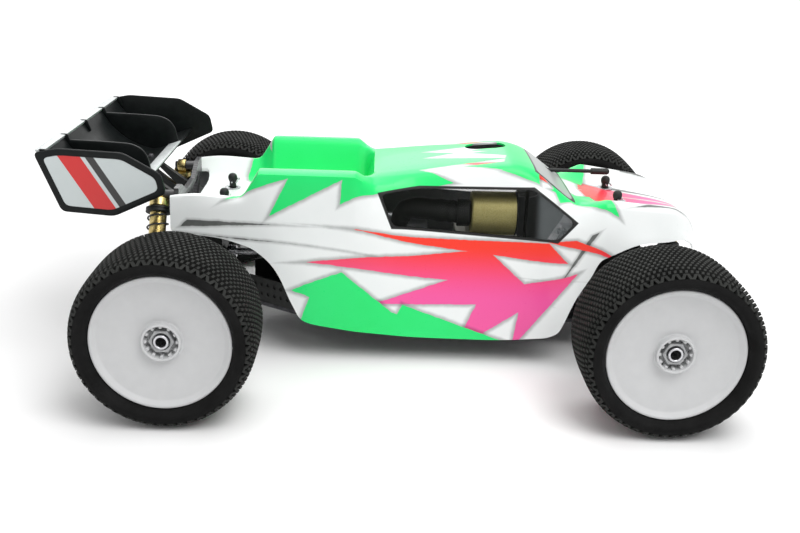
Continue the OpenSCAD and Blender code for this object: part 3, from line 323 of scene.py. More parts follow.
def shell_paint():
    m = Mat("painted_shell", Coat_Weight=0.12, Coat_Roughness=0.05, Specular_IOR_Level=0.3)
    split = m.axes()
    x = m.math("MULTIPLY_ADD", split["X"], PER_METRE, -MID_X)
    y = m.math("MULTIPLY", split["Y"], PER_METRE)
    z = m.math("MULTIPLY_ADD", split["Z"], PER_METRE, -LIFT)
    wide = m.math("ABSOLUTE", y)
    unrolled = m.math("ADD", m.math("SUBTRACT", wide, z), 100.0)
    place = flat_place(m, x, unrolled)
    cloud = m.noise(35, 3)
    colour = m.mix(cloud, (0.82, 0.86, 0.85), (0.90, 0.92, 0.915))
    red_at = m.span(unrolled, 66.0, 124.0, smooth=True)
    hood = m.span(x, 150.0, 222.0, smooth=True)
    fade = m.math("MAXIMUM", m.math("MULTIPLY", red_at, m.span(unrolled, 40.0, 66.0)), hood)
    red = m.mix(fade, (0.92, 0.045, 0.025), (0.90, 0.10, 0.36))
    green = m.mix(m.noise(22, 3), (0.004, 0.74, 0.14), (0.02, 0.82, 0.21))
    grey = m.mix(m.noise(60, 4), (0.03, 0.032, 0.032), (0.22, 0.23, 0.22))
    for shapes, paint, halo, strength in ((GREY_SPIKES, grey, 3.0, 0.35), (RED_SPIKES, red, 4.5, 0.5),
                                          (GREEN_SPIKES, green, 4.5, 0.5)):
        depth = deepest(m, place, shapes)
        ragged = m.math("MULTIPLY_ADD", m.math("SUBTRACT", m.noise(160, 2), 0.5), 1.6, depth)
        shade = m.math("MULTIPLY", m.span(ragged, -halo, 0.0, smooth=True), strength)
        colour = m.mix(shade, colour, (0.012, 0.014, 0.013))
        colour = m.mix(m.span(ragged, -0.25, 0.25), colour, paint)
    side = depth_in(m, flat_place(m, x, z), SIDE_WINDOW)
    side = m.math("MINIMUM", side, m.math("SUBTRACT", wide, 50.0))
    screen = m.math("MINIMUM", depth_in(m, flat_place(m, x, y), WINDSCREEN), m.math("SUBTRACT", z, 125.0))
    border = m.span(m.math("MAXIMUM", side, screen), -2.3, -1.9)
    colour = m.mix(border, colour, (0.006, 0.006, 0.006))
    m.set("Base Color", colour)
    fine = m.noise(700, 4)
    m.set("Roughness", m.span(fine, 0.3, 0.7, 0.27, 0.32))
    m.bump(m.noise(14, 1), 0.04, 0.002)
    return m.material


def window_film():
    """Tinted film. Towards the windscreen it is painted paler and hazier: painted light for the light that
    comes in through the windscreen onto the shell's inside.
    """
    m = Mat("window_film", Roughness=0.05, Specular_IOR_Level=0.12)
    split = m.axes()
    # Painted light: a grey haze over the front of the side window, where light from the windscreen falls
    # inside
    pale = m.span(split["X"], (MID_X + 98) * MM, (MID_X + 106) * MM, smooth=True)
    tint = m.mix(m.noise(50, 3), (0.004, 0.005, 0.004), (0.012, 0.013, 0.011))
    m.set("Base Color", m.mix(pale, tint, (0.19, 0.21, 0.215)))
    m.set("Alpha", m.span(pale, 0.0, 1.0, 0.2, 0.3))
    return m.material


# The clear windscreen painted an even, nearly opaque light grey: painted light for what the clear sheet
# reflects and lets through
def screen_painted_light():
    m = Mat("screen_painted_light", Roughness=0.3, Alpha=0.95, Specular_IOR_Level=0.22)
    m.set("Base Color", m.mix(m.noise(40, 3), (0.36, 0.385, 0.37), (0.41, 0.435, 0.42)))
    return m.material


PAINT, FILM, SCREEN_PAINTED_LIGHT = shell_paint(), window_film(), screen_painted_light()
INSIDE = surface("shell_backing", (0.14, 0.15, 0.155), (0.18, 0.19, 0.195), (0.35, 0.5), 600, 0.0001)

# Every CAD node takes the finish of its material slot
FINISH = {
    "moulded_black": MOULDED, "black_steel": BLACK_STEEL, "bright_steel": BRIGHT_STEEL,
    "gold_anodised": GOLD, "spring_black": SPRING, "white_rim": RIM, "tyre_rubber": RUBBER,
    "grey_alloy": ALLOY, "dark_alloy": DARK_ALLOY, "carbon_plate": CARBON, "wing_black": WING_BLACK,
    "painted_shell": PAINT, "cast_alloy": CAST, "filter_gold": FOAM, "tank_plastic": TANK,
    "radio_black": RADIO,
}
for sub in frame["record"]["subparts"]:
    mesh = frame["nodes"][sub["node"]].data
    mesh.materials.clear()
    mesh.materials.append(GUARD if sub["node"] == "plastic_guards" else FINISH[sub["material_slot"]])


def face_outwards(mesh):
    work = bmesh.new()
    work.from_mesh(mesh)
    bmesh.ops.recalc_face_normals(work, faces=work.faces)
    work.to_mesh(mesh)
    work.free()


def add_piece(name, verts, faces, material, body, slot, replaces=(), angle=38, ride=True):
    """A mesh in model millimetres that rides on a body and takes the given material; its slot is not used."""
    mesh = bpy.data.meshes.new(name)
    mesh.from_pydata([Vector(v) * MM for v in verts], [], faces)
    mesh.validate()
    face_outwards(mesh)
    shade(mesh, angle)
    mesh.materials.append(material)
    piece = bpy.data.objects.new(name, mesh)
    bpy.context.scene.collection.objects.link(piece)
    if ride:
        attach(piece, body)
    if replaces:
        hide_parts(*replaces)
    return piece


def shade(mesh, angle=38):
    mesh.polygons.foreach_set("use_smooth", [True] * len(mesh.polygons))
    mesh.set_sharp_from_angle(angle=math.radians(angle))


def apply_modifiers(piece):
    """Turns the piece's modifiers into its mesh."""
    graph = bpy.context.evaluated_depsgraph_get()
    mesh = bpy.data.meshes.new_from_object(piece.evaluated_get(graph))
    old = piece.data
    piece.modifiers.clear()
    piece.data = mesh
    bpy.data.meshes.remove(old)


def rounded(points, radius, steps=3):
    """The outline with each corner turned into a short arc."""
    out = []
    n = len(points)
    for i, p in enumerate(points):
        p = Vector(p)
        a, b = Vector(points[i - 1]) - p, Vector(points[(i + 1) % n]) - p
        r = min(radius, a.length * 0.45, b.length * 0.45)
        a, b = p + a.normalized() * r, p + b.normalized() * r
        for k in range(steps + 1):
            t = k / steps
            out.append(a * (1 - t) ** 2 + p * 2 * t * (1 - t) + b * t * t)
    return out


def lathe(profile, sides, place=Matrix.Identity(4)):
    """Turns a closed outline of (radius, along) points about Z."""
    verts, faces = [], []
    n = len(profile)
    for k in range(sides):
        turn = 2 * math.pi * k / sides
        verts += [place @ Vector((p[0] * math.cos(turn), p[0] * math.sin(turn), p[1])) for p in profile]
    for k in range(sides):
        here, there = k * n, (k + 1) % sides * n
        for i in range(n):
            j = (i + 1) % n
            faces.append((here + i, here + j, there + j, there + i))
    return verts, faces


def join(*parts):
    verts, faces = [], []
    for v, f in parts:
        base = len(verts)
        verts += v
        faces += [tuple(i + base for i in face) for face in f]
    return verts, faces


def slab(outline, y0, y1):
    """A plate of an XZ outline from y0 to y1."""
    n = len(outline)
    verts = [(p[0], y, p[1]) for y in (y0, y1) for p in outline]
    faces = [tuple(range(n)), tuple(range(2 * n - 1, n - 1, -1))]
    faces += [(i, (i + 1) % n, n + (i + 1) % n, n + i) for i in range(n)]
    return verts, faces


def bevelled(piece, width, segments=2):
    mod = piece.modifiers.new("edge", "BEVEL")
    mod.width = width * MM
    mod.segments = segments
    mod.limit_method = "ANGLE"
    mod.angle_limit = math.radians(30)
    apply_modifiers(piece)
    shade(piece.data)
    return piece


def wheel_place(e, s):
    """Z of a lathe becomes the outward side of a wheel."""
    return Matrix.Translation((AXLE_X[e], s * WHEEL_Y, AXLE_Z)) @ Matrix.Rotation(-s * math.pi / 2, 4, "X")


TREAD_LINE = [(61.4, 35.3), (62.9, 34.2), (64.0, 33.0), (65.4, 30.5), (66.5, 27.4), (67.2, 24),
              (67.65, 19.5), (67.9, 14), (68, 6)]
PIN_DEPTH = 2.5


def line_at(points, want):
    """Place and outward direction at a distance along a polyline."""
    for a, b in zip(points, points[1:]):
        a, b = Vector(a), Vector(b)
        step = (b - a).length
        if want <= step:
            way = (b - a) / step
            return a + way * want, Vector((-way.y, way.x))
        want -= step
    way = (Vector(points[-1]) - Vector(points[-2])).normalized()
    return Vector(points[-1]), Vector((-way.y, way.x))


def tread_outline():
    """Radius and side of the tread's outline, from the outer shoulder to the inner one."""
    return [(r + LIFT, y) for r, y in TREAD_LINE] + [(r + LIFT, -y) for r, y in TREAD_LINE[::-1]]


def tyre_mesh(place):
    """The tyre without its pins."""
    whole = tread_outline()
    skin = []
    for i, p in enumerate(whole):
        a, b = Vector(whole[max(i - 1, 0)]), Vector(whole[min(i + 1, len(whole) - 1)])
        way = (b - a).normalized()
        out = Vector((-way.y, way.x))
        if out.x < 0:
            out = -out
        sink = PIN_DEPTH if 0 < i < len(whole) - 1 else 0.0
        skin.append(Vector(p) - out * sink)
    bead = [(51.95, 30.6), (52.6, 32.4), (54.2, 34.6), (55.6, 36.2), (57.2, 36.8), (59.0, 36.4)]
    inner = [(51.95, -25.6), (56, -31.0), (62, -27), (63, -21), (63, 21), (62, 27), (56, 31.0), (51.95, 25.6)]
    profile = bead + skin + [(r, -y) for r, y in bead[::-1]] + inner
    return lathe(profile, 144, place=place)


def tread_mesh(place):
    """Pins in slanted columns from shoulder to shoulder, with larger blocks on the shoulders."""
    whole = tread_outline()
    length = sum((Vector(b) - Vector(a)).length for a, b in zip(whole, whole[1:]))
    rows, around, margin = 16, 104, 2.6
    verts, faces = [], []
    for row in range(rows):
        spot, out = line_at(whole, margin + (length - 2 * margin) * row / (rows - 1))
        if out.x < 0:
            out = -out
        along = Vector((-out.y, out.x))
        edge = row in (0, rows - 1)
        half_y, half_t = (2.2, 1.15) if edge else (1.45, 0.92)
        for k in range(around):
            turn = 2 * math.pi * (k + 0.36 * row) / around
            radial = Vector((math.cos(turn), math.sin(turn), 0))
            tangent = Vector((-math.sin(turn), math.cos(turn), 0))
            lean = (1.1 if k % 2 else -1.1) if edge else 0.3
            base = len(verts)
            for lift, grow_by in ((-PIN_DEPTH - 0.2, 1.25), (-0.02, 1.0)):
                for a, b in ((-1, -1), (1, -1), (1, 1), (-1, 1)):
                    p = spot + out * lift + along * (a * half_y * grow_by)
                    q = radial * p.x + Vector((0, 0, p.y)) + tangent * (b * half_t * grow_by + a * lean)
                    verts.append(place @ q)
            faces.append((base + 4, base + 5, base + 6, base + 7))
            faces += [(base + i, base + (i + 1) % 4, base + 4 + (i + 1) % 4, base + 4 + i) for i in range(4)]
            faces.append((base + 3, base + 2, base + 1, base))
    return verts, faces


RIM_PROFILE = [(5.7, -2.9), (14.5, -2.9), (14.5, 18.5), (43, 23.5), (43, -30.5), (51.5, -30.5),
               (51.5, -27.5), (46, -25.5), (46, 25.5), (51.3, 27.6), (51.5, 30.4), (49.6, 30.4),
               (46.2, 27.6), (15.6, 23.7), (14.6, 24.4), (14.5, 29.0), (12.6, 29.0), (12.5, 20.5),
               (5.7, 20.5)]
NUT_PROFILE = [(5.7, 20.55), (9.4, 20.55), (9.4, 25.2), (8.9, 26.0), (6.7, 26.0), (6.5, 25.6),
               (6.5, 23.0), (5.7, 23.0)]
AXLE_PROFILE = [(0.05, -32), (5.8, -32), (5.8, -42.5), (7.6, -42.5), (7.6, -30.5), (4, -30.5),
                (4, -11), (5.6, -11), (5.6, 27.6), (5.2, 28.0), (4.1, 28.0), (3.8, 27.6),
                (3.8, 16.5), (0.05, 16.5)]
TOOTH_SIDE = [(10.6, -1.0), (12.7, -1.2), (12.7, 1.2), (10.6, 1.0)]
BOSS_TEETH = 12


def make_wheel(corner, e, s):
    place = wheel_place(e, s)
    body = "wheel_" + corner
    add_piece("tyre_skin_" + corner, *tyre_mesh(place), RUBBER, body, "tyre_rubber",
              ["tyre_" + corner], angle=50)
    add_piece("tyre_pins_" + corner, *tread_mesh(place), TREAD, body, "tyre_rubber", angle=30)
    rim = lathe(rounded(RIM_PROFILE, 0.9), 128, place=place)
    add_piece("rim_" + corner, *rim, RIM, body, "white_rim", ["wheel_" + corner])
    # Serrations of the boss
    teeth = []
    for k in range(BOSS_TEETH):
        turn = Matrix.Rotation(2 * math.pi * k / BOSS_TEETH, 4, "Z")
        block = [(x, y, z) for z in (20.3, 27.2) for x, y in TOOTH_SIDE]
        faces = [(3, 2, 1, 0), (4, 5, 6, 7)] + [(i, (i + 1) % 4, 4 + (i + 1) % 4, 4 + i) for i in range(4)]
        teeth.append(([place @ turn @ Vector(v) for v in block], faces))
    bevelled(add_piece("boss_teeth_" + corner, *join(*teeth), RIM, body, "white_rim"), 0.25)
    verts, faces = lathe(NUT_PROFILE, 72)
    flats = []
    for v in verts:
        v = Vector(v)
        reach = math.hypot(v.x, v.y)
        if reach > 8:
            # The outside of the nut is a hexagon
            turn = math.atan2(v.y, v.x) % (math.pi / 3) - math.pi / 6
            v *= Vector((0.9 / math.cos(turn), 0.9 / math.cos(turn), 1))
        flats.append(place @ v)
    add_piece("wheel_nut_" + corner, flats, faces, NUT, body, "white_rim", angle=20)
    axle = lathe(rounded(AXLE_PROFILE, 0.3), 64, place=place)
    add_piece("axle_" + corner, *axle, BRIGHT_STEEL, body, "bright_steel")
    hexagon = lathe(rounded([(5.65, -10.8), (9.6, -10.8), (9.6, -3.1), (5.65, -3.1)], 0.4), 6, place=place)
    add_piece("wheel_hex_" + corner, *hexagon, ALLOY, body, "grey_alloy", angle=30)
    # A black disc at the bottom of the axle's bore: painted shade in the hole
    bore = lathe([(0.05, 16.6), (3.75, 16.6), (3.75, 17.0), (0.05, 17.0)], 32, place=place)
    add_piece("axle_bore_shade_" + corner, *bore, BORE_SHADE, body, "tyre_rubber")


for corner, e, s in CORNERS:
    make_wheel(corner, e, s)


# Shocks: distance from the axle, lower eye and upper eyes as (side, height), the length that the
# body leaves free, and how far the spring's seats lie from the upper and the lower eye
SHOCK_X, FOOT = 30.0, (100.0, 50.0)
SHOCK_TOP = {1: (46.0, 112.0), -1: (50.0, 134.0)}
SHOCK_ROOM = {1: 35.0, -1: 44.0}
SHOCK_R, SPRING_R, WIRE_R, TURNS = 7.0, 8.4, 0.8, 8
SEAT_TOP, SEAT_FOOT, SEAT_GAP = 16.5, 15.5, 1.1


def shock_place(e, s):
    """Z runs from the upper eye down the shock."""
    t = SHOCK_TOP[e]
    down = Vector((0, s * (FOOT[0] - t[0]), FOOT[1] - t[1])).normalized()
    along = Vector((1, 0, 0))
    across = down.cross(along)
    turn = Matrix((along, across, down)).transposed().to_4x4()
    return Matrix.Translation((AXLE_X[e] + e * SHOCK_X, s * t[0], t[1] + LIFT)) @ turn


def sweep(rings, sides):
    """A closed round tube through rings, each a middle, two directions across and a radius."""
    turns = [2 * math.pi * k / sides for k in range(sides)]
    verts, faces = [], []
    for p, u, v, r in rings:
        verts += [p + r * (u * math.cos(t) + v * math.sin(t)) for t in turns]
    last = len(rings) - 1
    for i in range(last):
        for k in range(sides):
            a, b = i * sides + k, i * sides + (k + 1) % sides
            faces.append((a, b, b + sides, a + sides))
    faces.append(tuple(range(sides)))
    faces.append(tuple(range(last * sides, (last + 1) * sides)))
    return verts, faces


def helix(z0, z1, place):
    per_turn = 26
    count = TURNS * per_turn
    path = []
    for i in range(count + 1):
        turn = 2 * math.pi * i / per_turn
        along = z0 + (z1 - z0) * i / count
        path.append(Vector((SPRING_R * math.cos(turn), SPRING_R * math.sin(turn), along)))
    rings = []
    for i, p in enumerate(path):
        way = (path[min(i + 1, count)] - path[max(i - 1, 0)]).normalized()
        out = Vector((p.x, p.y, 0)).normalized()
        rings.append((p, out, way.cross(out), WIRE_R))
    verts, faces = sweep(rings, 12)
    return [place @ v for v in verts], faces


def make_shock(corner, e, s):
    place = shock_place(e, s)
    length = math.dist(SHOCK_TOP[e], FOOT)
    end = length - SHOCK_ROOM[e]
    body, rod = "shock_body_" + corner, "shock_shaft_" + corner
    eye = lathe(rounded([(2.05, -3.5), (5.5, -3.5), (5.5, 3.5), (2.05, 3.5)], 0.5), 40,
                place=place @ Matrix.Rotation(math.pi / 2, 4, "Y"))
    r = SHOCK_R
    outline = [(0.05, 4.2), (7.4, 4.2), (8.0, 5.0), (8.0, 10.4), (7.2, 11.4), (r, 11.9)]
    z = 12.0
    while z < end - 7:
        # One turn of the thread
        outline += [(r, z), (r - 0.25, z + 0.35), (r, z + 0.7)]
        z += 1.0
    outline += [(r, end - 6), (6.6, end - 5.4), (r, end - 4.8), (r, end - 0.8), (6.2, end), (1.85, end),
                (1.85, end - 3.6), (5.6, end - 3.6), (5.6, 10.0), (0.05, 10.0)]
    add_piece("shock_tube_" + corner, *join(eye, lathe(outline, 48, place=place)), GOLD, body,
              "gold_anodised", ["shock_body_" + corner], angle=30)
    # The front ones are slimmer, because they swing close to the shell
    wide = 9.5 if e > 0 else 10.6
    collar = [(7.05, 12.1), (wide - 0.3, 12.1), (wide, 12.5), (wide, 13.4), (wide - 0.5, 13.7),
              (wide - 0.5, 14.2), (wide, 14.5), (wide, 16.0), (wide - 0.4, 16.4), (7.05, 16.4)]
    add_piece("spring_collar_" + corner, *lathe(collar, 48, place=place), MOULDED, body, "moulded_black",
              angle=30)
    coil = helix(SEAT_TOP + SEAT_GAP, length - SEAT_FOOT - SEAT_GAP, place)
    spring = add_piece("spring_coil_" + corner, *coil, SPRING, None, "spring_black",
                       ["shock_spring_" + corner], ride=False)
    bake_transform(spring)
    cup = [(1.85, -15.4), (wide - 0.4, -15.4), (wide, -15.0), (wide, -13.4), (wide - 0.8, -12.9),
           (4.6, -12.6), (3.45, -11.5), (3.45, -5.0), (1.85, -4.0)]
    cup = rounded([(x, length + z) for x, z in cup], 0.4)
    add_piece("spring_cup_" + corner, *lathe(cup, 48, place=place), MOULDED, rod, "moulded_black")


for corner, e, s in CORNERS:
    make_shock(corner, e, s)


def tube(path, radius):
    """A closed round tube along a path, its radius a function of the share of the way."""
    rings = []
    side = None
    for i, p in enumerate(path):
        way = (path[min(i + 1, len(path) - 1)] - path[max(i - 1, 0)]).normalized()
        side = (way.orthogonal() if side is None else side - way * side.dot(way)).normalized()
        rings.append((p, side, way.cross(side), radius(i / (len(path) - 1))))
    return sweep(rings, 32)


# The carburettor's mouth, from the end of the filter's box and from the middle
CARB_X, CARB_Y = 10, -26.284


def make_filter():
    """Gold drum, dark end cap and rubber elbow down to the carburettor."""
    low, high = (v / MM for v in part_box("air_filter"))
    cap_r, drum_r, cap_l, drum_l = 19.0, 18.6, 5.0, 36.0
    end, y, z = high.x, low.y + cap_r, high.z - cap_r
    start = end - cap_l - drum_l
    along = Matrix.Translation((0, y, z)) @ Matrix.Rotation(math.pi / 2, 4, "Y")
    rim = end - cap_l + 1.6
    drum = rounded([(0.05, start), (drum_r - 1, start), (drum_r, start + 1), (drum_r, rim), (0.05, rim)], 0.4)
    add_piece("filter_drum", *lathe(drum, 72, place=along), FOAM, "chassis", "filter_gold", ["air_filter"])
    cap = [(0.05, rim + 0.05), (cap_r, rim + 0.05), (cap_r, rim + 1.1), (8.6, rim + 1.1), (8.2, end - 0.8),
           (7.4, end), (0.05, end)]
    add_piece("filter_cap", *lathe(rounded(cap, 0.4), 72, place=along), MOULDED, "chassis", "moulded_black")
    x = low.x + CARB_X
    route = smooth_line([(x, CARB_Y, low.z + 0.2), (x, CARB_Y, low.z + 18), (x + 1.5, CARB_Y, z - 9),
                         (x + 10, CARB_Y - 1.6, z - 0.6), (start - 24, y + 4, z), (start - 12, y + 1.2, z),
                         (start - 0.1, y, z)], 8)
    # The elbow widens towards the drum and has shallow rings
    neck = tube(route, lambda t: 6.9 + 3.0 * min(1.0, max(0.0, (t - 0.15) * 2)) + 0.35 * math.sin(t * 60))
    clamp = [(9.5, start - 12), (12, start - 12), (12, start - 1.2), (9.5, start - 1.2)]
    clamp = lathe(rounded(clamp, 0.8), 64, place=along)
    add_piece("filter_elbow", *join(neck, clamp), MOULDED, "chassis", "moulded_black")


# The wing's half width, its fins' places, its thickness, and its outlines as (station, height)
WING_HALF, FIN_Y, WING_T = 115.5, 57.0, 2.4
PLATE_SIDE = [(-296.3, 182.4), (-277.8, 186.3), (-228.4, 184.3), (-199.9, 168.4), (-196.7, 152.6),
              (-237.6, 133.5), (-277.9, 136.4)]
FLOOR_SIDE = [(-218.5, 155.5), (-229, 152), (-238, 148.5), (-248, 148.5), (-266, 156), (-281, 169),
              (-290, 183)]
FIN_SIDE = [(-219, 150), (-248, 146.5), (-266, 154), (-281, 167), (-287.5, 180.2), (-256, 179.4),
            (-236, 178.3), (-227.6, 174.8), (-222.6, 168)]


def wing_points(points):
    return [Vector((p[0] + MID_X, p[1] + LIFT)) for p in points]


def smooth_line(points, steps):
    """A smooth line through the points."""
    pts = [Vector(p) for p in points]
    out = []
    for i in range(len(pts) - 1):
        p0, p1, p2, p3 = pts[max(i - 1, 0)], pts[i], pts[i + 1], pts[min(i + 2, len(pts) - 1)]
        for k in range(steps):
            t = k / steps
            out.append(0.5 * (2 * p1 + (p2 - p0) * t + (2 * p0 - 5 * p1 + 4 * p2 - p3) * t * t
                              + (3 * p1 - p0 - 3 * p2 + p3) * t ** 3))
    return out + [pts[-1]]


def thick_line(path, t):
    """A closed outline from a line and its copy moved to one side."""
    out = []
    for i, p in enumerate(path):
        d = path[min(i + 1, len(path) - 1)] - path[max(i - 1, 0)]
        out.append(p + t * Vector((-d.y, d.x)).normalized())
    return list(path) + out[::-1]


def inset(points, by):
    """The outline moved inwards."""
    pts = [Vector(p) for p in anticlockwise([tuple(p) for p in points])]
    n = len(pts)
    out = []
    for i in range(n):
        a, b = (pts[i] - pts[i - 1]).normalized(), (pts[(i + 1) % n] - pts[i]).normalized()
        na, nb = Vector((-a.y, a.x)), Vector((-b.y, b.x))
        out.append(pts[i] + (na + nb) * by / (1 + na.dot(nb)))
    return out


SCREW_HEAD = [(0.05, -0.4), (4.6, -0.4), (4.6, 0.7), (2.9, 0.75), (2.6, 1.7), (1.5, 2.3), (1.3, 2.3),
              (1.2, 1.2), (0.05, 1.2)]
SCREW_X, SCREW_Y, SCREW_Z = (-238.5, -246.5), (-23, 23), 148.5
RIB_Y = (-112, -FIN_Y, 0, FIN_Y, 112)
BORDER = 5.2


def wing_slab(name, outline, y0, y1, bevel, segments=2, material=WING_BLACK, replaces=()):
    """A bevelled plate of the wing."""
    piece = add_piece(name, *slab(outline, y0, y1), material, "chassis", "wing_black", replaces)
    return bevelled(piece, bevel, segments)


def from_point(p, steps):
    return [(p.x + x, p.y + z) for x, z in steps]


def plate_line(by=None):
    """The end plate's rounded outline, moved inwards where asked."""
    line = wing_points(PLATE_SIDE)
    return rounded(line if by is None else inset(line, by), 4, 4)


def make_wing():
    floor = smooth_line(wing_points(FLOOR_SIDE), 6)
    half = WING_HALF - WING_T
    wing_slab("wing_floor", thick_line(floor, WING_T), -half, half, 0.5, replaces=["wing"])
    fin = rounded(wing_points(FIN_SIDE), 4, 4)
    for k, y in enumerate((-FIN_Y, FIN_Y)):
        wing_slab(f"wing_fin_{k}", fin, y - WING_T / 2, y + WING_T / 2, 0.7, 3)
    panel, rim = plate_line(BORDER), plate_line(0.3)
    for k, s in enumerate((-1, 1)):
        y0, y1 = sorted((s * half, s * (WING_HALF - 0.5)))
        wing_slab(f"end_plate_{k}", plate_line(), y0, y1, 0.7, 3)
        # A raised border, and the white panel that it frames
        n = len(panel)
        ring = [(p[0], y, p[1]) for y in (s * (WING_HALF - 0.7), s * WING_HALF)
                for line in (rim, panel) for p in line]
        faces = []
        for i in range(n):
            j = (i + 1) % n
            for a, b in ((0, n), (n, 3 * n), (3 * n, 2 * n), (2 * n, 0)):
                faces.append((a + i, a + j, b + j, b + i))
        bevelled(add_piece(f"end_border_{k}", ring, faces, WING_BLACK, "chassis", "wing_black"), 0.2)
        y0, y1 = sorted((s * (WING_HALF - 0.6), s * (WING_HALF - 0.25)))
        add_piece(f"end_panel_{k}", *slab(plate_line(BORDER - 0.2), y0, y1), PANEL, "chassis", "wing_black")
    back, front = wing_points(FLOOR_SIDE)[-1], wing_points(FLOOR_SIDE)[0]
    lip = from_point(back, [(-5.6, 0.2), (0.4, -2.2), (1.8, 1.2), (-5.0, 1.6)])
    wing_slab("wing_rear_lip", lip, -half, half, 0.4, material=TRIM_WHITE)
    nose = from_point(front, [(-10.5, -3.2), (0.2, 0.5), (0.9, -0.6), (-10.5, -4.4)])
    wing_slab("wing_front_lip", nose, -FIN_Y + 1.5, FIN_Y - 1.5, 0.2, material=TRIM_WHITE)
    # Button screws and washers over the struts
    head = rounded(SCREW_HEAD, 0.25)
    screws = [lathe(head, 32, place=Matrix.Translation((x + MID_X, y, SCREW_Z + LIFT)))
              for x in SCREW_X for y in SCREW_Y]
    add_piece("wing_screws", *join(*screws), BLACK_STEEL, "chassis", "wing_black", angle=30)
    # Small ribs that hold the rear lip
    rib = rounded(from_point(back, [(-3.0, 1.8), (3.4, 1.8), (6.5, -8), (4.0, -9)]), 1.2, 2)
    ribs = [slab(rib, y - 1.1, y + 1.1) for y in RIB_Y]
    bevelled(add_piece("wing_lip_ribs", *join(*ribs), WING_BLACK, "chassis", "wing_black"), 0.3)


def panel_vinyl():
    """White sheet with two plain slanted bands."""
    m = Mat("panel_vinyl", Coat_Weight=0.3)
    split = m.axes()
    lean, first_x, first_z = 620.0, -264.0, 0.158
    x = m.math("MULTIPLY", split["X"], PER_METRE)
    slant = m.math("MULTIPLY_ADD", split["Z"], lean, x)
    across = m.math("SUBTRACT", slant, first_x + MID_X + lean * first_z)
    colour = m.mix(m.noise(40, 3), (0.58, 0.64, 0.64), (0.68, 0.73, 0.73))
    for a, b, paint in ((0.0, 17.0, (0.66, 0.012, 0.012)), (20.5, 27.0, (0.01, 0.01, 0.01))):
        band = m.math("MULTIPLY", m.span(across, a, a + 0.3), m.span(across, b, b + 0.3, 1.0, 0.0))
        colour = m.mix(band, colour, paint)
    m.set("Base Color", colour)
    m.set("Roughness", m.span(m.noise(600, 4), 0.3, 0.7, 0.28, 0.4))
    return m.material


PANEL = panel_vinyl()
make_wing()
make_filter()

# Lines along the painted shell, from the middle of the top down to the hem: (station, height or side)
MID_Z = [(-204, 120), (-45, 122), (-37, 156.5), (-5, 161), (45, 166), (80, 169.5), (99, 165),
         (134, 138), (158, 132.5), (185, 129), (215, 126), (232, 123), (243, 117), (250, 108),
         (252.6, 90)]
MID_Y = [(-204, 52), (-145, 52), (-131, 44), (-46, 44), (-37, 30), (148, 30), (185, 34), (215, 30),
         (228, 25.5), (238, 19.5), (246, 12), (252.6, 5)]
IN_Z = [(-204, 132), (-185, 135), (-141, 134), (-131, 158), (-52, 158), (-45, 154), (-37, 155.5),
        (-5, 159.5), (45, 164.5), (80, 168), (99, 163), (134, 137), (158, 138), (185, 135.5),
        (215, 132.5), (232, 126), (243, 116.5), (250, 106.5), (252.6, 89.5)]
IN_Y = [(-204, 62), (-141, 62), (-131, 55), (-50, 55), (-37, 44), (134, 44), (158, 50), (215, 48),
        (228, 37.5), (238, 28.5), (246, 17.5), (252.6, 7.5)]
TOP_Z = [(-204, 138), (-185, 141), (-145, 138), (-131, 162), (-52, 162), (-45, 157), (-37, 154.5),
         (-5, 157.5), (45, 163), (80, 166.5), (99, 160), (134, 134.5), (158, 143.5), (185, 140.5),
         (215, 137), (232, 128), (243, 115.5), (250, 105), (252.6, 89)]
TOP_Y = [(-204, 65), (-141, 65), (-131, 60), (-50, 60), (-37, 52), (113, 50), (158, 61), (215, 56),
         (228, 42.5), (238, 32.5), (246, 20.5), (252.6, 9)]
EDGE_Z = [(-204, 137), (-185, 140), (-145, 137), (-131, 160), (-52, 160), (-45, 155), (-37, 150),
          (-5, 148), (99, 147.5), (134, 131.5), (158, 141.5), (185, 138), (215, 134.5),
          (232, 125.5), (243, 113), (250, 103), (252.6, 88.5)]
EDGE_Y = [(-204, 68), (-131, 72), (-50, 73), (-37, 64), (-5, 57), (113, 57), (158, 67.5),
          (215, 61.5), (228, 48), (238, 36.5), (246, 23), (252.6, 10)]
BELT_Z = [(-204, 125), (-131, 138), (-50, 132), (-19, 117), (113, 108), (148, 124), (158, 128),
          (215, 123), (232, 113), (250, 97), (252.6, 88)]
BELT_Y = [(-204, 69.5), (-131, 74), (-50, 75), (-5, 66.5), (113, 66.5), (158, 73), (215, 65.5),
          (228, 54), (238, 40.5), (246, 25.5), (252.6, 11)]
FLANK_Y = [(-204, 70), (-131, 75), (-89, 79), (-5, 75), (113, 75), (158, 77), (215, 67),
           (228, 56.5), (238, 42.5), (246, 27), (252.6, 11.5)]
HEM_Y = [(-204, 70.5), (-131, 76), (-97, 82), (-89, 83), (134, 82), (185, 77), (215, 69), (228, 58),
         (238, 44), (246, 28), (252.6, 12)]
HEM_Z = [(-204, 107), (-163, 105), (-137, 97), (-121, 85), (-112, 71), (-106, 55), (-100, 44),
         (-97, 37), (-89, 33), (-50, 27), (0, 23), (75, 22), (113, 25), (122, 28), (126, 33),
         (134.5, 59), (149, 84), (153, 95), (185, 110), (228, 110), (243, 98), (252.6, 86)]
STATIONS = [-204, -185, -163, -145, -137, -131, -121, -112, -106, -100, -97, -89, -70, -52, -45,
            -37, -19, -5, 20, 45, 65, 80, 99, 113, 122, 126, 134.5, 141, 148, 153, 158, 170, 185,
            200, 215, 224, 232, 238, 243, 247, 250, 252.6]
SHELL_T = 1.6


def lookup(x, curve):
    if x <= curve[0][0]:
        return curve[0][1]
    for a, b in zip(curve, curve[1:]):
        if x <= b[0]:
            return a[1] + (b[1] - a[1]) * (x - a[0]) / (b[0] - a[0])
    return curve[-1][1]


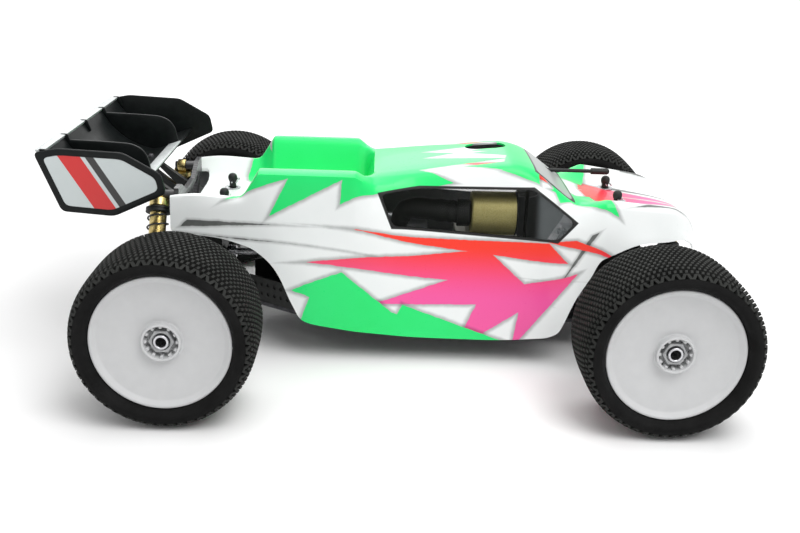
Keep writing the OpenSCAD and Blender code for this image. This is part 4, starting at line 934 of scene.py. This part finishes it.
def half_section(x):
    """Points (side, height) from the middle of the top down to the hem."""
    mid, belt, hem = lookup(x, MID_Z), lookup(x, BELT_Z), lookup(x, HEM_Z)
    flank, foot = lookup(x, FLANK_Y), lookup(x, HEM_Y)
    points = [(0, mid), (lookup(x, MID_Y), mid - 0.5)]
    points += [(lookup(x, y), lookup(x, z)) for y, z in ((IN_Y, IN_Z), (TOP_Y, TOP_Z), (EDGE_Y, EDGE_Z))]
    points += [(lookup(x, BELT_Y), belt), (flank, belt + (hem - belt) * 0.4),
               ((flank + 2 * foot) / 3, belt + (hem - belt) * 0.75), (foot, hem)]
    return points


# How sharp the lines along and across the shell stay
COLUMN_CREASE = {1: 0.45, 2: 0.4, 3: 0.4, 4: 0.45, 5: 0.35}
ROW_CREASE = {-145: 0.3, -131: 0.5, -52: 0.5, -45: 0.5, -37: 0.6, 113: 0.5, 148: 0.5, 158: 0.3, 250: 0.2}


def shell_piece():
    verts, faces = [], []
    half = len(half_section(0)) - 1
    wide = 2 * half + 1
    for x in STATIONS:
        h = half_section(x)
        for j in range(-half, half + 1):
            y, z = h[abs(j)]
            verts.append((x + MID_X, math.copysign(y, j), z + LIFT))
    for i in range(len(STATIONS) - 1):
        for j in range(wide - 1):
            a = i * wide + j
            faces.append((a, a + 1, a + wide + 1, a + wide))
    piece = add_piece("shell", verts, faces, PAINT, "chassis", "painted_shell", ["body_shell"])
    mesh = piece.data
    if mesh.polygons[(len(STATIONS) // 2) * (wide - 1) + half].normal.z < 0:
        mesh.flip_normals()
    crease = mesh.attributes.new("crease_edge", "FLOAT", "EDGE")
    for edge in mesh.edges:
        a, b = sorted(edge.vertices)
        if b - a == wide:
            crease.data[edge.index].value = COLUMN_CREASE.get(abs(a % wide - half), 0.0)
        else:
            crease.data[edge.index].value = ROW_CREASE.get(STATIONS[a // wide], 0.0)
    sub = piece.modifiers.new("round", "SUBSURF")
    sub.levels = sub.render_levels = 2
    solid = piece.modifiers.new("sheet", "SOLIDIFY")
    solid.thickness = SHELL_T * MM
    solid.offset = -1
    solid.material_offset = 1
    mesh.materials.append(INSIDE)
    apply_modifiers(piece)
    return piece


def cutter(name, verts, faces):
    mesh = bpy.data.meshes.new(name)
    mesh.from_pydata([Vector(v) * MM for v in verts], [], faces)
    face_outwards(mesh)
    piece = bpy.data.objects.new(name, mesh)
    bpy.context.scene.collection.objects.link(piece)
    return piece


def prism(outline, low, high, axis):
    """A prism of a flat outline: along Y the outline is in XZ, along Z in XY, along X in YZ."""
    n = len(outline)
    order = {"X": lambda u, v, w: (w, u, v), "Y": lambda u, v, w: (u, w, v),
             "Z": lambda u, v, w: (u, v, w)}[axis]
    verts = [order(p[0], p[1], w) for w in (low, high) for p in outline]
    faces = [tuple(range(n)), tuple(range(n, 2 * n))]
    faces += [(i, (i + 1) % n, n + (i + 1) % n, n + i) for i in range(n)]
    return verts, faces


def circle(x, y, r, n=40):
    return [(x + r * math.cos(2 * math.pi * k / n), y + r * math.sin(2 * math.pi * k / n)) for k in range(n)]


def cut(piece, tool, operation):
    mod = piece.modifiers.new("cut", "BOOLEAN")
    mod.operation = operation
    mod.solver = "EXACT"
    mod.object = tool
    apply_modifiers(piece)


# Body posts: station, half of their distance, top, and the shell's height there
POSTS = [(175.4, 25.4, 138.0, 130.0), (-165.8, 25.6, 130.4, 120.4)]
POST_HOLE_R = 4.0
# The oval hole in the roof: station, side, radius, and how far its halves are drawn apart
ROOF_X, ROOF_Y, ROOF_R, ROOF_STRETCH = 62.4, 21.8, 12.3, 6
# The openings over the engine and for the rear shock tower: stations and half width
ENGINE_ROOM, TOWER_ROOM = (-72, -52, 22), (-230, -192, 59)
# The antenna's hole in the windscreen: side, height and radius
ANTENNA_Y, ANTENNA_Z, ANTENNA_R = 20, 147, 3.2


def room(back, front, half):
    """A rounded rectangle seen from above."""
    back, front = back + MID_X, front + MID_X
    return rounded([(back, -half), (front, -half), (front, half), (back, half)], 4, 4)


def cut_with(piece, solid, operation):
    tool = cutter("tool", *solid)
    cut(piece, tool, operation)
    bpy.data.objects.remove(tool)


def make_shell():
    """The shell with its openings, and the panes cut from the same sheet."""
    shell = shell_piece()
    window = rounded([(x + MID_X, z + LIFT) for x, z in SIDE_WINDOW], 5, 5)
    screen = rounded([(x + MID_X, y) for x, y in WINDSCREEN], 6, 5)
    openings = [
        ("side_window_right", prism(window, -90, -50, "Y")),
        ("side_window_left", prism(window, 50, 90, "Y")),
        ("windscreen", prism(screen, 125 + LIFT, 180 + LIFT, "Z")),
    ]
    holes = [prism(circle(x + MID_X, s * y, POST_HOLE_R), 100 + LIFT, 160 + LIFT, "Z")
             for x, y, _, _ in POSTS for s in (-1, 1)]
    oval = [(x + math.copysign(ROOF_STRETCH, x - ROOF_X - MID_X), y)
            for x, y in circle(ROOF_X + MID_X, ROOF_Y, ROOF_R, 48)]
    holes.append(prism(oval, 150 + LIFT, 190 + LIFT, "Z"))
    holes.append(prism(room(*ENGINE_ROOM), 100 + LIFT, 140 + LIFT, "Z"))
    holes.append(prism(room(*TOWER_ROOM), 100 + LIFT, 150 + LIFT, "Z"))
    for hole in holes:
        cut_with(shell, hole, "DIFFERENCE")
    for name, opening in openings:
        pane = bpy.data.objects.new(name, shell.data.copy())
        bpy.context.scene.collection.objects.link(pane)
        cut_with(pane, opening, "INTERSECT")
        cut_with(shell, opening, "DIFFERENCE")
        pane.data.materials.clear()
        pane.data.materials.append(SCREEN_PAINTED_LIGHT if name == "windscreen" else FILM)
        shade(pane.data)
        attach(pane, "chassis")
        if name == "windscreen":
            hole = circle(ANTENNA_Y, ANTENNA_Z + LIFT, ANTENNA_R, 24)
            cut_with(pane, prism(hole, 100 + MID_X, 150 + MID_X, "X"), "DIFFERENCE")
    shade(shell.data)


make_shell()


def make_knobs():
    """Round knobs on the body posts, each over a thin washer on the shell."""
    knob = [(0.05, -4.6), (2.6, -4.6), (3.5, -3.2), (4.1, -1.2), (4.1, 0.4), (3.5, 2.2), (2.2, 3.4),
            (0.05, 3.9)]
    washer = [(4.3, 0.1), (7.0, 0.1), (7.0, 0.9), (4.3, 0.9)]
    knobs, washers = [], []
    for x, y, top, deck in POSTS:
        for s in (-1, 1):
            for parts, profile, radius, z in ((knobs, knob, 0.8, top), (washers, washer, 0.2, deck)):
                seat = Matrix.Translation((x + MID_X, s * y, z + LIFT))
                parts.append(lathe(rounded(profile, radius), 40, place=seat))
    add_piece("post_knobs", *join(*knobs), MOULDED, "chassis", "moulded_black")
    add_piece("post_washers", *join(*washers), BRIGHT_STEEL, "chassis", "bright_steel")


make_knobs()


# Area lamps: name, place, size and power, all turned to a point over the origin
LAMPS = [("key", (0.6, -0.9, 1.5), 1.1, 19.5), ("fill", (-0.9, -0.8, 0.9), 1.0, 2.2),
         ("top", (0.1, 0.2, 1.6), 1.6, 16), ("back", (-0.2, 1.3, 1.0), 1.2, 6.5)]
LAMP_AIM = Vector((0, 0, 0.08))
WORLD_LIGHT = 0.36


def make_floor():
    """A pale floor that keeps the shadow and is plain white further out."""
    bpy.ops.mesh.primitive_plane_add(size=12)
    floor = bpy.context.object
    floor.name = "floor"
    m = Mat("floor_pale", Roughness=0.9)
    away = m.span(m.vector("LENGTH", m.coord), 0.45, 1.1, smooth=True)
    near = m.mix(m.noise(3, 2), (0.93, 0.93, 0.93), (0.95, 0.95, 0.95))
    m.set("Base Color", m.mix(away, near, (0.3, 0.3, 0.3)))
    path = m.add("ShaderNodeLightPath")
    seen = m.math("ADD", m.math("ADD", path.outputs["Is Camera Ray"], path.outputs["Is Glossy Ray"]),
                  path.outputs["Is Transmission Ray"], clamp=True)
    m.set("Emission Color", (1.0, 1.0, 1.0))
    m.set("Emission Strength", m.math("MULTIPLY", seen, m.span(away, 0.0, 1.0, 0.004, 1.0)))
    floor.data.materials.append(m.material)


def make_light():
    """An even light that is seen as white, and four soft lamps."""
    world = bpy.data.worlds.new("studio")
    bpy.context.scene.world = world
    world.use_nodes = True
    tree = world.node_tree
    back = tree.nodes["Background"]
    back.inputs["Color"].default_value = (1, 1, 1, 1)
    path = tree.nodes.new("ShaderNodeLightPath")
    rays = path.outputs["Is Camera Ray"]
    for key in ("Is Glossy Ray", "Is Transmission Ray"):
        add = tree.nodes.new("ShaderNodeMath")
        add.operation = "ADD"
        tree.links.new(rays, add.inputs[0])
        tree.links.new(path.outputs[key], add.inputs[1])
        rays = add.outputs[0]
    level = tree.nodes.new("ShaderNodeMapRange")
    for socket, value in zip(level.inputs[1:], (0.0, 1.0, WORLD_LIGHT, 1.0)):
        socket.default_value = value
    tree.links.new(rays, level.inputs[0])
    tree.links.new(level.outputs[0], back.inputs["Strength"])
    for name, spot, size, power in LAMPS:
        lamp = bpy.data.lights.new(name, "AREA")
        lamp.size = size
        lamp.energy = power
        light = bpy.data.objects.new(name, lamp)
        light.location = spot
        light.rotation_euler = (LAMP_AIM - light.location).to_track_quat("-Z", "Y").to_euler()
        bpy.context.scene.collection.objects.link(light)


# Camera: place in millimetres, yaw, pitch and roll in degrees, focal length in pixels of the frame
CAMERA_X, CAMERA_Y, CAMERA_Z = -34.3, -865.2, 368.2
CAMERA_TURN = (1.54, 19.77, 2.04)
FOCAL, FRAME_WIDTH, SENSOR = 1003.04, 800, 36


def make_camera():
    spot = Vector((CAMERA_X + MID_X, CAMERA_Y, CAMERA_Z + LIFT))
    yaw, pitch, roll = (math.radians(a) for a in CAMERA_TURN)
    ahead = Vector((math.sin(yaw) * math.cos(pitch), math.cos(yaw) * math.cos(pitch), -math.sin(pitch)))
    right = Vector((math.cos(yaw), -math.sin(yaw), 0))
    over = right.cross(ahead)
    right, over = (math.cos(roll) * right + math.sin(roll) * over,
                   math.cos(roll) * over - math.sin(roll) * right)
    data = bpy.data.cameras.new("camera")
    data.sensor_width = SENSOR
    data.lens = FOCAL * SENSOR / FRAME_WIDTH
    data.clip_start = 0.01
    camera = bpy.data.objects.new("camera", data)
    turn = Matrix((right, over, -ahead)).transposed().to_4x4()
    camera.matrix_world = Matrix.Translation(spot * MM) @ turn
    bpy.context.scene.collection.objects.link(camera)
    bpy.context.scene.camera = camera


make_floor()
make_light()
make_camera()
bpy.context.scene.view_settings.view_transform = "Standard"
